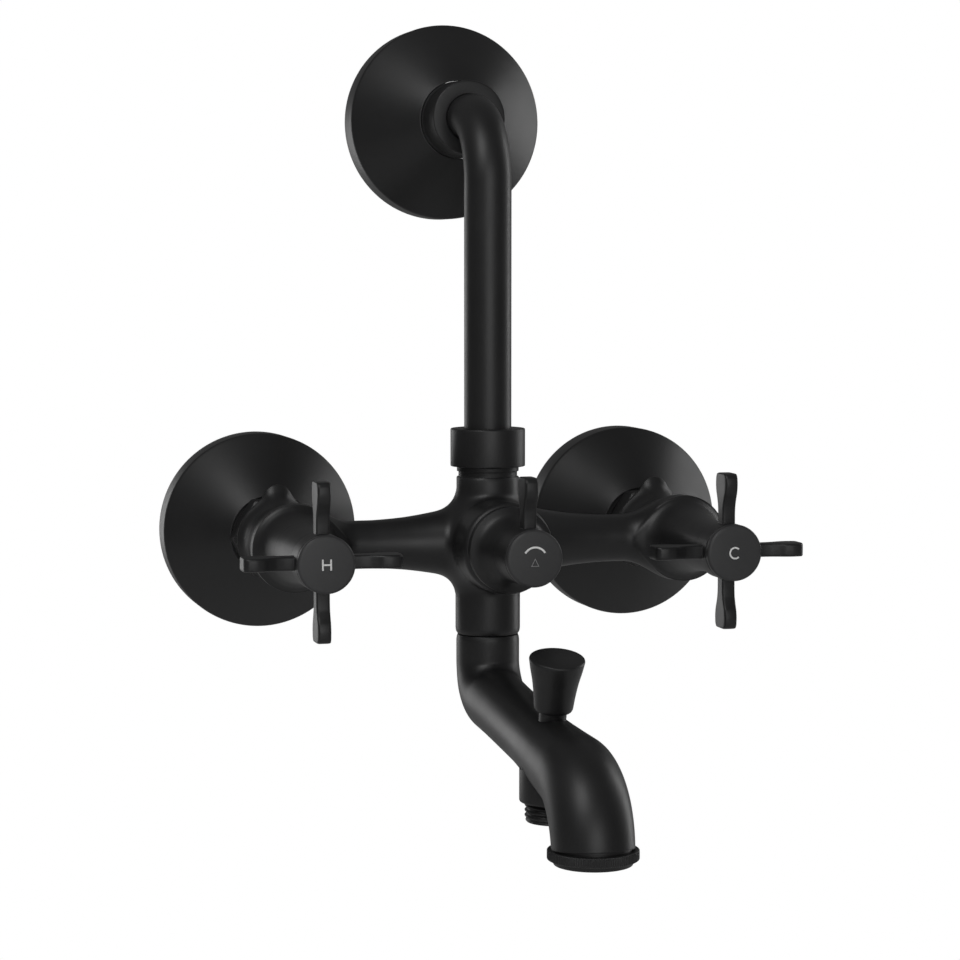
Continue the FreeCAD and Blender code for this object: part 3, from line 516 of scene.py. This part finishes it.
def housing_shell(x):
    """Bell with its lug, rim and long shroud outside, chamber and bores inside, in one outline."""
    outline = np.concatenate([
        [(10.2, 44.0), (10.2, 48.2), (15.3, 48.2), (15.6, 48.5)], curve_points(BELL, 60),
        rounded([(16.3, 81.3, 0.1), (16.3, 85.5, 0.35), (16.0, 85.62, 0.05), (15.0, 83.0, 0.0)], 0.1)[:-8],
        curve_points(SHROUD, 70),
        [(9.3, 127.0), (8.75, 127.0), (8.75, 98.0), (8.3, 98.0), (8.3, 86.0), (10.0, 86.0), (10.0, 64.0),
         (6.5, 64.0), (6.5, 44.0)],
    ])
    return turned(outline, (x, 0, 0), FORWARD, 200, lugged)


def barrel_shells():
    """Both ends of the barrel: the middle is the diverter chamber, which has to stay open."""
    below = np.array([knot for knot in BARREL if knot[0] <= -14])
    lower = np.concatenate([[(8.05, -34.6), (11.2, -34.6)], curve_points(below, 30), [(8.05, -14.0)]])
    upper = np.concatenate([
        [(8.05, 14.0), (11.75, 14.0), (11.75, 24.1), (11.5, 24.5)],
        rounded([(11.0, 24.5, 0.1), (11.0, 26.5, 0.1), (11.6, 26.6, 0.15), (11.6, 28.2, 0.15),
                 (12.0, 28.3, 0.1),
                 (12.0, 36.0, 0.3), (8.05, 36.0, 0.1)], 0.1),
    ])
    return [turned(outline, (0, BODY_DEPTH, 0), UP, 160) for outline in (lower, upper)]


def boss_shell():
    front = [knot for knot in BOSS if knot[0] > 70]
    outline = np.concatenate([curve_points(front, 50), [(12.0, 107.0), (12.0, 71.5)]])
    return turned(outline, (0, 0, 0), FORWARD, 160)


# %% The whole casting
BODY_STEP = 0.72


def body_casting():
    low = np.array([-COLD_X - 17.0, 49.0, -36.0])
    high = np.array([COLD_X + 17.0, 106.0, 26.0])
    axes = [np.arange(a, b, BODY_STEP) for a, b in zip(low, high)]
    lattice = np.stack(np.meshgrid(*axes, indexing="ij"), axis=-1)
    points, faces = skin(casting(lattice), low, BODY_STEP)
    fillets = (settle(points, casting), faces)
    shells = [housing_shell(HOT_X), housing_shell(COLD_X), *barrel_shells(), boss_shell()]
    return make_piece("body_casting", *combined(fillets, *shells), "fixed", matte_black, "matte_black",
                      ["mixer_body"])


body_casting()

# %% [markdown]
# The union nuts are hexagons with their corners turned off at both ends. In polar form a hexagon of
# flat distance f has the radius f / cos(a), with a folded into 30 degrees either side of a flat, and
# a cone limits it at the ends.

# %% Union nuts
def hexagonal(flat, chamfer_start, chamfer_end, slope=0.55):
    """Ripple that makes the outer skin a hexagon with chamfered ends."""
    def ripple(radius, along, angle):
        folded = (angle + np.pi / 6) % (np.pi / 3) - np.pi / 6
        corner = flat / np.cos(folded)
        softened = np.minimum(corner, flat * 1.135)
        limit = flat * 1.02 + np.minimum(along - chamfer_start, chamfer_end - along) / slope
        return np.where(radius > flat - 1e-6, np.minimum(softened, limit), radius)
    return ripple


def union_nut(side, x):
    low, high = node_box(side + "_union_nut")
    flat, back, front = (high[0] - low[0]) / 2, low[1], high[1]
    outer = np.linspace(back, front, 24)
    outline = np.concatenate([
        np.stack([np.full(24, flat), outer], -1),
        [(flat - 0.6, front), (10.25, front), (10.25, front - 2.2), (13.25, front - 2.2), (13.25, back),
         (flat - 0.6, back)],
    ])
    points, faces = turned(outline, (x, 0.0, 0.0), FORWARD, 192, hexagonal(flat, back, front))
    return make_piece(side + "_union_hexagon", points, faces, "fixed", matte_black, "matte_black",
                      [side + "_union_nut"])


for side, x in (("hot", HOT_X), ("cold", COLD_X)):
    union_nut(side, x)

# %% [markdown]
# ## Riser
# The riser pipe is one bent tube. Its path is straight, a quarter circle, and straight again; a circle
# is carried along it, square to the path, once outside and once inside, and the two skins meet at the
# ends.

# %% A tube along a path
def tube(path, across, outside, inside, around=96):
    """Path points (x, depth, z), a fixed direction square to the path, and both radii along it."""
    path = np.asarray(path, dtype=float)
    tangent = np.gradient(path, axis=0)
    tangent /= np.linalg.norm(tangent, axis=1)[:, None]
    other = np.cross(tangent, across)
    angle = np.linspace(0, 2 * np.pi, around, endpoint=False)
    circle = (np.cos(angle)[None, :, None] * np.asarray(across, dtype=float)
              + np.sin(angle)[None, :, None] * other[:, None])
    skins = [path[:, None] + np.asarray(outside)[:, None, None] * circle,
             (path[:, None] + np.asarray(inside)[:, None, None] * circle)[::-1]]
    points = np.concatenate(skins)
    return points.reshape(-1, 3), grid_faces(len(points), around, loop_rows=True)


def path_points(start, legs, spacing=1.2):
    """Path in the x = 0 plane from (depth, z): legs are (length, turn in degrees, bend radius).

    A heading h moves the point by (cos h, sin h); on a bend, the heading changes by ds / radius."""
    depth, z, heading = start
    points = [(depth, z)]
    for length, turn, radius in legs:
        if radius:
            length = abs(math.radians(turn)) * radius
        steps = max(2, int(length / spacing))
        change = math.radians(turn) / steps
        for _ in range(steps):
            heading += change / 2
            depth += length / steps * math.cos(heading)
            z += length / steps * math.sin(heading)
            heading += change / 2
            points.append((depth, z))
    points = np.array(points)
    return np.stack([np.zeros(len(points)), points[:, 0], points[:, 1]], axis=-1)


# %% Riser pipe, its nut and the ring on the upper cover
def riser():
    low, high = node_box("riser_pipe")
    bend, radius, wall = 25.0, 8.85, 1.2
    rise = high[2] - radius - bend - low[2]
    run = BODY_DEPTH - bend - low[1]
    path = path_points((BODY_DEPTH, low[2], math.pi / 2), [(rise, 0, 0), (0, 90, bend), (run, 0, 0)])
    size = np.full(len(path), radius)
    points, faces = tube(path, (1, 0, 0), size, size - wall)
    flare = rounded([(11.2, 0.0), (11.2, 2.0), (8.9, 2.0), (8.9, 0.0)], 0.2)
    collar = turned(flare, (0, BODY_DEPTH, low[2]), UP)
    points, faces = combined((points, faces), collar)
    return make_piece("riser_bent_tube", points, faces, "fixed", matte_black, "matte_black", ["riser_pipe"])


def riser_nut():
    low, high = node_box("riser_union_nut")
    outer, bottom, top = (high[0] - low[0]) / 2, low[2], high[2]
    outline = rounded([(12.05, bottom, 0.1), (outer, bottom, 0.45), (outer, top, 0.6), (8.92, top, 0.15),
                       (8.92, top - 2.8, 0.1), (12.05, top - 2.8, 0.1)])
    points, faces = turned(outline, (0, BODY_DEPTH, 0), UP, around=160)
    return make_piece("riser_round_nut", points, faces, "fixed", matte_black, "matte_black",
                      ["riser_union_nut"])


def upper_ring():
    front = node_box("upper_flange_collar")[1][1]
    outline = rounded([(8.92, 27.0, 0.1), (14.8, 27.0, 0.1), (14.8, 33.0, 0.1), (14.2, 33.7, 0.2),
                       (14.2, front, 0.7), (8.92, front, 0.3)])
    points, faces = turned(outline, (0, 0, RISER_TOP), FORWARD, around=160)
    return make_piece("upper_ring", points, faces, "fixed", matte_black, "matte_black",
                      ["upper_flange_collar"])


riser()
riser_nut()
upper_ring()

# %% [markdown]
# ## Handles
# A handle is a round hub with flat paddles. Seen from the side, a paddle is narrow at the hub, swells
# into a bulb and ends flat; seen from the front it is a thin bar. Its section at each radius is a
# superellipse, a rectangle with soft corners, whose half height follows the side view.

# %% Handles
PADDLE = [(8.0, 2.85), (13.0, 2.85), (16.0, 3.1), (19.0, 4.1), (21.6, 5.3), (24.2, 5.75), (26.4, 5.55),
          (27.6, 4.9), (28.3, 3.9)]
PADDLE_HALF_WIDTH = 2.5
PADDLE_DEPTH = middle("hot_cross_handle")[1]
PADDLE_TIP = PADDLE[-1][0]
HUB_RADIUS = 10.3


def paddle(base, angle_degrees, depth, around=40):
    """Superellipse sections: |tangential / width|^7 + |axial / height|^7 = 1, closed at the tip."""
    reach = np.concatenate([np.linspace(8.0, 26.0, 40), np.linspace(26.2, PADDLE_TIP, 14)])
    height = flow(reach, PADDLE)
    ease = np.sqrt(np.clip(1 - ((reach - (PADDLE_TIP - 0.5)) / 0.5).clip(0) ** 2, 0, 1))
    width = PADDLE_HALF_WIDTH - 0.45 * (1 - ease)
    height = height - 0.45 * (1 - ease)
    angle = np.linspace(0, 2 * np.pi, around, endpoint=False)
    power = 2 / 7
    c, s = np.cos(angle), np.sin(angle)
    across = np.sign(c) * np.abs(c) ** power
    along = np.sign(s) * np.abs(s) ** power
    turn = math.radians(angle_degrees)
    outward = np.array([math.sin(turn), 0, math.cos(turn)])
    sideways = np.array([math.cos(turn), 0, -math.sin(turn)])
    centre = np.asarray(base, dtype=float) + FORWARD * depth
    scale = np.linspace(1, 0, 5)[1:]
    rows = [centre + r * outward + w * across[:, None] * sideways + h * along[:, None] * FORWARD
            for r, w, h in zip(reach, width, height)]
    rows += [centre + reach[-1] * outward + k * width[-1] * across[:, None] * sideways
             + k * height[-1] * along[:, None] * FORWARD for k in scale]
    points = np.concatenate(rows)
    return points, grid_faces(len(rows), around)


def handle(name, node, cap, body, angles):
    x = middle(cap)[0]
    back, front = node_box(node)[0][1], node_box(cap)[0][1] + 1.95
    if len(angles) > 1:
        back = node_box("mixer_body")[1][1] + 0.4
    outline = rounded([(4.1, back, 0.1), (HUB_RADIUS, back, 0.5), (HUB_RADIUS, front, 0.3), (8.0, front, 0.1),
                       (8.0, front - 2.7, 0.1), (4.1, front - 2.7, 0.1)])
    parts = [turned(outline, (x, 0, 0), FORWARD, 144)]
    parts += [paddle((x, 0, 0), angle, PADDLE_DEPTH) for angle in angles]
    return make_piece(name, *combined(*parts), body, matte_black, "matte_black", [node])


handle("hot_cross", "hot_cross_handle", "hot_index_cap", "hot_handle", (0, 90, 180, 270))
handle("cold_cross", "cold_cross_handle", "cold_index_cap", "cold_handle", (0, 90, 180, 270))
handle("diverter_lever", "diverter_lever_handle", "diverter_index_cap", "diverter_handle", (0,))


# %% Index caps
def index_cap(side, body):
    node = side + "_index_cap"
    x = middle(node)[0]
    back = node_box(node)[0][1]
    outline = rounded([(0.0, CAP_FRONT, 0.0), (HUB_RADIUS, CAP_FRONT, 1.1), (HUB_RADIUS, back + 2.25, 0.35),
                       (7.95, back + 2.05, 0.1), (7.95, back, 0.2), (6.6, back, 0.2), (6.6, back + 2.8, 0.1),
                       (0.0, back + 2.8, 0.0)])
    points, faces = turned(outline, (x, 0, 0), FORWARD, 144)
    return make_piece(side + "_cap_disc", points, faces, body, cap_black, "index_cap_black", [node])


for side in ("hot", "cold", "diverter"):
    index_cap(side, side + "_handle")

# %% [markdown]
# ## Marks
# The caps carry a generic H and C, and an arc over a small triangle on the diverter. Each mark is a
# ribbon: a centre line with a constant width, given a very small thickness so that it is real geometry.

# %% Printed marks
MARK_RISE = 0.04


def ribbon(line, width, base, closed=False):
    """Band of constant width along a line of (x, z) points, from the cap's face to MARK_RISE above."""
    line = np.asarray(line, dtype=float)
    before = np.roll(line, 1, axis=0) if closed else np.vstack([2 * line[0] - line[1], line[:-1]])
    after = np.roll(line, -1, axis=0) if closed else np.vstack([line[1:], 2 * line[-1] - line[-2]])
    first = (line - before) / np.linalg.norm(line - before, axis=1)[:, None]
    second = (after - line) / np.linalg.norm(after - line, axis=1)[:, None]
    normal = np.stack([-(first + second)[:, 1], (first + second)[:, 0]], -1)
    normal /= np.linalg.norm(normal, axis=1)[:, None]
    stretch = 1 / np.maximum(np.sum(normal * np.stack([-first[:, 1], first[:, 0]], -1), axis=1), 0.4)
    offset = normal * (width / 2 * stretch)[:, None]
    rings = []
    for edge, rise in ((offset, -0.03), (offset, MARK_RISE), (-offset, MARK_RISE), (-offset, -0.03)):
        flat = line + edge
        rings.append(np.stack([flat[:, 0], np.full(len(flat), rise), flat[:, 1]], -1))
    points = np.stack(rings, axis=1) + np.asarray(base, dtype=float)
    faces = grid_faces(len(line), 4, loop_rows=closed)
    if not closed:
        last = (len(line) - 1) * 4
        faces = np.concatenate([faces, [[3, 2, 1, 0]], [[last, last + 1, last + 2, last + 3]]])
    return points.reshape(-1, 3), faces


def mark(name, ribbons, body, material, slot):
    return make_piece(name, *combined(*ribbons), body, material, slot)


def arc(radius, start, end, count=28):
    """Circle points (radius * sin a, radius * cos a) between two angles from the top, in degrees."""
    angle = np.radians(np.linspace(start, end, count))
    return np.stack([radius * np.sin(angle), radius * np.cos(angle)], -1)


def marks():
    stroke = 0.62
    face = (HOT_X, CAP_FRONT, 0.0)
    wide, tall = 1.45, 1.95
    mark("hot_mark", [
        ribbon([(-wide, -tall), (-wide, tall)], stroke, face),
        ribbon([(wide, -tall), (wide, tall)], stroke, face),
        ribbon([(-wide + stroke / 2, 0), (wide - stroke / 2, 0)], stroke, face),
    ], "hot_handle", print_white, "index_cap_black")
    mark("cold_mark", [ribbon(arc(1.95, 136, 404, 40), stroke, (COLD_X, CAP_FRONT, 0.0))],
         "cold_handle", print_white, "index_cap_black")
    front = (0.0, CAP_FRONT, 0.0)
    mark("diverter_arc", [ribbon(arc(4.3, -58, 58) + (0, -0.2), 0.7, front)], "diverter_handle", print_white,
         "index_cap_black")
    corners = [(-1.3, -2.6), (0.0, -0.1), (1.3, -2.6)]
    mark("diverter_triangle", [ribbon(corners, 0.22, front, closed=True)], "diverter_handle", print_grey,
         "index_cap_black")


marks()


# %% Diverter bonnet
def bonnet():
    back, front = 107.05, node_box("diverter_bonnet")[1][1]
    concave = curve_points([(110.2, 15.7), (111.4, 13.2), (113.4, 11.7), (116.5, 10.6), (119.5, 10.15),
                            (front, 9.95)])
    outline = np.concatenate([
        [(8.7, 99.0), (11.9, 99.0), (11.9, back), (15.5, back), (15.8, back + 0.3), (15.8, 109.9)], concave,
        [(8.7, front)],
    ])
    points, faces = turned(outline, (0, 0, 0), FORWARD, 160)
    return make_piece("diverter_cone", points, faces, "fixed", matte_black, "matte_black",
                      ["diverter_bonnet"])


bonnet()

# %% [markdown]
# ## Spout
# The spout hangs from the body, turns forwards through one bend, runs down a little and turns down
# again, and it swells towards its mouth. It is the riser's tube formula with a radius that changes along
# the path. The pull knob, its stem and the hand-shower outlet stand on it.

# %% Spout tube
SPOUT_TOP = -35.0
SLOPE = 5.3
SPOUT_SWELL = [(0.0, 11.85), (0.07, 11.85), (0.12, 12.05), (0.3, 11.6), (0.5, 11.5), (0.62, 12.15),
               (0.72, 13.0), (0.82, 13.9), (0.92, 14.15), (1.0, 14.0)]


def spout():
    bend, second, unfinished = 14.5, 23.6, 5.4
    turn = 90 - SLOPE
    first_end = BODY_DEPTH + bend * (1 - math.cos(math.radians(turn)))
    second_start = OUTLET_DEPTH - second * (1 - math.cos(math.radians(turn)))
    run = (second_start - first_end) / math.cos(math.radians(SLOPE))
    path = path_points((BODY_DEPTH, SPOUT_TOP, -math.pi / 2),
                       [(9.2, 0, 0), (0, turn, bend), (run, 0, 0), (0, unfinished - turn, second)], 1.0)
    length = np.concatenate([[0], np.cumsum(np.linalg.norm(np.diff(path, axis=0), axis=1))])
    size = flow(length / length[-1], SPOUT_SWELL)
    edge = np.array([0.45, 0.12])
    size[:2] -= edge
    wall = np.where(length < 9.0, 3.4, 2.2)
    skins = tube(path, (1, 0, 0), size, size - wall, 128)
    floor = rounded([(9.02, -81.8, 0.1), (12.3, -81.8, 0.9), (12.3, -70.0, 0.1), (9.02, -70.0, 0.1)])
    outlet_boss = turned(floor, (0, HAND_DEPTH, 0), UP, 112)
    lip = turned(rounded([(12.3, -91.4, 0.1), (13.0, -91.4, 0.1), (13.0, -86.5, 0.1), (12.3, -86.5, 0.1)]),
                 (0, OUTLET_DEPTH, 0), UP, 112)
    return make_piece("spout_tube", *combined(skins, outlet_boss, lip), "spout", matte_black, "matte_black",
                      ["bath_spout"])


spout()


# %% Aerator ring with its knurl
KNURL_RIBS = 120
RIB_STEPS = 6


def aerator_ring():
    low, high = node_box("aerator_housing")
    outer, top, bottom = (high[0] - low[0]) / 2, high[2], low[2]
    outline = rounded([(13.05, top, 0.1), (outer, top, 0.5), (outer, top - 3.3, 0.5), (13.6, top - 3.4, 0.2),
                       (13.2, bottom, 0.4), (10.6, bottom, 0.3), (10.6, bottom + 2.6, 0.1),
                       (13.05, bottom + 2.6, 0.1)], 0.3, 7)

    def knurled(radius, along, angle):
        ribs = 0.5 + 0.5 * np.cos(KNURL_RIBS * angle)
        band = np.clip((radius - (outer - 0.5)) / 0.3, 0, 1)
        return radius - 0.22 * band * ribs

    points, faces = turned(outline, (0, OUTLET_DEPTH, 0), UP, KNURL_RIBS * RIB_STEPS, knurled)
    return make_piece("aerator_knurled_ring", points, faces, "spout", matte_black, "matte_black",
                      ["aerator_housing"])


aerator_ring()

# %% [markdown]
# The hand-shower outlet ends in a male pipe thread. A thread is a tube whose radius follows a helix:
# the crest moves one pitch along the axis for each turn, so the radius depends on along / pitch minus
# angle / full turn.

# %% Threads
def threaded(name, node, base, axis, start, end, crest, inner, pitch=1.814, body="spout", extra=()):
    """Crest radius less a triangular groove of depth 0.64 * pitch, faded out at both ends."""
    rows = np.arange(start, end + 1e-6, pitch / 9)
    crests = np.stack([np.full(len(rows), crest), rows], -1)
    outline = np.concatenate([crests, [(inner, end)], [(inner, start)]])

    def helix(radius, along, angle):
        turns = (along / pitch - angle / (2 * np.pi)) % 1.0
        depth = 0.5 * pitch * (1 - np.abs(2 * turns - 1))
        fade = np.clip(np.minimum(along - start, end - along) / 0.8, 0, 1)
        lead = 0.8 * (1 - fade)
        return np.where(radius > crest - 1e-6, crest - depth * fade - lead, radius)

    parts = [turned(outline, base, axis, 96, helix), *extra]
    return make_piece(name, *combined(*parts), body, matte_black, "matte_black", [node])


def hand_shower_thread():
    low, high = node_box("hand_shower_nipple")
    base = (0, HAND_DEPTH, 0)
    shank_outline = rounded([(6.6, -81.8), (8.95, -81.8), (8.95, high[2]), (6.6, high[2])], 0.1)
    return threaded("hand_shower_thread", "hand_shower_nipple", base, UP, low[2], -81.75, 10.48, 6.6,
                    extra=[turned(shank_outline, base, UP, 96)])


hand_shower_thread()

# %% [markdown]
# ## Pull knob
# The knob that sends the water to the hand shower is a small waisted cone with a flat top, on a stem
# that leans forwards.

# %% Pull knob
KNOB_LEAN = math.radians(14.4)
KNOB_TOP = np.array([0.0, 168.0, -31.3])
KNOB_DOWN = np.array([0.0, -math.sin(KNOB_LEAN), -math.cos(KNOB_LEAN)])
KNOB_LENGTH = 19.3


def pull_knob():
    flank = curve_points([(0.9, 9.72), (4.0, 9.15), (9.0, 8.05), (14.0, 7.3), (18.3, 6.85)], 20)
    edge = curve_points([(0.0, 9.0), (0.1, 9.35), (0.35, 9.62), (0.8, 9.73)], 6)
    foot = curve_points([(18.4, 6.8), (18.9, 6.6), (19.2, 6.25), (KNOB_LENGTH, 5.8)], 6)
    socket = [(2.55, KNOB_LENGTH), (2.55, 10.0), (0.0, 10.0)]
    outline = np.concatenate([[(0.0, 0.0)], edge, flank, foot, socket])
    points, faces = turned(outline, KNOB_TOP, KNOB_DOWN, 144)
    return make_piece("pull_knob_cone", points, faces, "plunger", matte_black, "matte_black", ["pull_knob"])


pull_knob()

# %% [markdown]
# ## Stage
# A pale floor well below, a white surrounding for the camera, and large soft lights. The surroundings
# reflect only dimly, because a black coat shows every reflection as a grey haze.

# %% Floor and surroundings
def stage():
    floor_height = -330.0 * MM
    size = 6.0
    mesh = bpy.data.meshes.new("floor")
    corners = [(-size, -size, floor_height), (size, -size, floor_height), (size, size, floor_height),
               (-size, size, floor_height)]
    mesh.from_pydata(corners, [], [(0, 1, 2, 3)])
    floor = bpy.data.objects.new("floor", mesh)
    bpy.context.scene.collection.objects.link(floor)
    material = bpy.data.materials.new("floor_pale")
    material.use_nodes = True
    nodes, links = material.node_tree.nodes, material.node_tree.links
    shader = nodes["Principled BSDF"]
    shader.inputs["Base Color"].default_value = (0.8, 0.8, 0.8, 1)
    shader.inputs["Roughness"].default_value = 0.9
    shader.inputs["Specular IOR Level"].default_value = 0.0
    glow = nodes.new("ShaderNodeEmission")
    glow.inputs["Strength"].default_value = 1.0
    seen = nodes.new("ShaderNodeLightPath")
    mix = nodes.new("ShaderNodeMixShader")
    links.new(seen.outputs["Is Camera Ray"], mix.inputs["Fac"])
    links.new(shader.outputs["BSDF"], mix.inputs[1])
    links.new(glow.outputs["Emission"], mix.inputs[2])
    links.new(mix.outputs["Shader"], nodes["Material Output"].inputs["Surface"])
    mesh.materials.append(material)


def surroundings(strength):
    world = bpy.data.worlds.new("studio")
    bpy.context.scene.world = world
    world.use_nodes = True
    nodes, links = world.node_tree.nodes, world.node_tree.links
    dim = nodes["Background"]
    dim.inputs["Color"].default_value = (1, 1, 1, 1)
    dim.inputs["Strength"].default_value = strength
    bright = nodes.new("ShaderNodeBackground")
    bright.inputs["Color"].default_value = (1, 1, 1, 1)
    bright.inputs["Strength"].default_value = 1.0
    seen = nodes.new("ShaderNodeLightPath")
    mix = nodes.new("ShaderNodeMixShader")
    links.new(seen.outputs["Is Camera Ray"], mix.inputs["Fac"])
    links.new(dim.outputs["Background"], mix.inputs[1])
    links.new(bright.outputs["Background"], mix.inputs[2])
    links.new(mix.outputs["Shader"], nodes["World Output"].inputs["Surface"])


stage()
surroundings(0.15)


# %% Lights
def soft_light(name, place, size, power, target=(0.0, -0.09, 0.03)):
    """Square area light at place, in metres, turned towards the target."""
    data = bpy.data.lights.new(name, "AREA")
    data.shape = "RECTANGLE"
    data.size, data.size_y = size
    data.energy = power
    light = bpy.data.objects.new(name, data)
    bpy.context.scene.collection.objects.link(light)
    direction = np.asarray(target, dtype=float) - np.asarray(place, dtype=float)
    light.location = place
    light.rotation_euler = Vector(direction.tolist()).to_track_quat("-Z", "Y").to_euler()


soft_light("key_upper_left", (-0.8, -0.9, 1.2), (0.7, 0.7), 8.0)
soft_light("back_left", (-0.75, 1.4, 0.0), (0.7, 0.6), 2.6)
soft_light("right_strip", (1.3, 0.3, 0.2), (0.3, 1.4), 5.0)
soft_light("front_fill", (-0.2, -2.2, 0.3), (1.2, 1.0), 8.0)

# %% [markdown]
# ## Camera
# A long lens, a little to the left of the middle and slightly above, looking down by under five degrees.

# %% Camera
CAMERA_TURN = 14.9764
CAMERA_DROP = 4.5674


def camera():
    data = bpy.data.cameras.new("camera")
    data.sensor_width = 36.0
    data.lens = 101.35
    data.clip_start, data.clip_end = 0.05, 30.0
    eye = bpy.data.objects.new("camera", data)
    bpy.context.scene.collection.objects.link(eye)
    eye.location = (-0.264161, -1.052442, 0.103837)
    eye.rotation_euler = (math.radians(90 - CAMERA_DROP), 0.0, math.radians(-CAMERA_TURN))
    bpy.context.scene.camera = eye
    bpy.context.scene.view_settings.view_transform = "Standard"


camera()
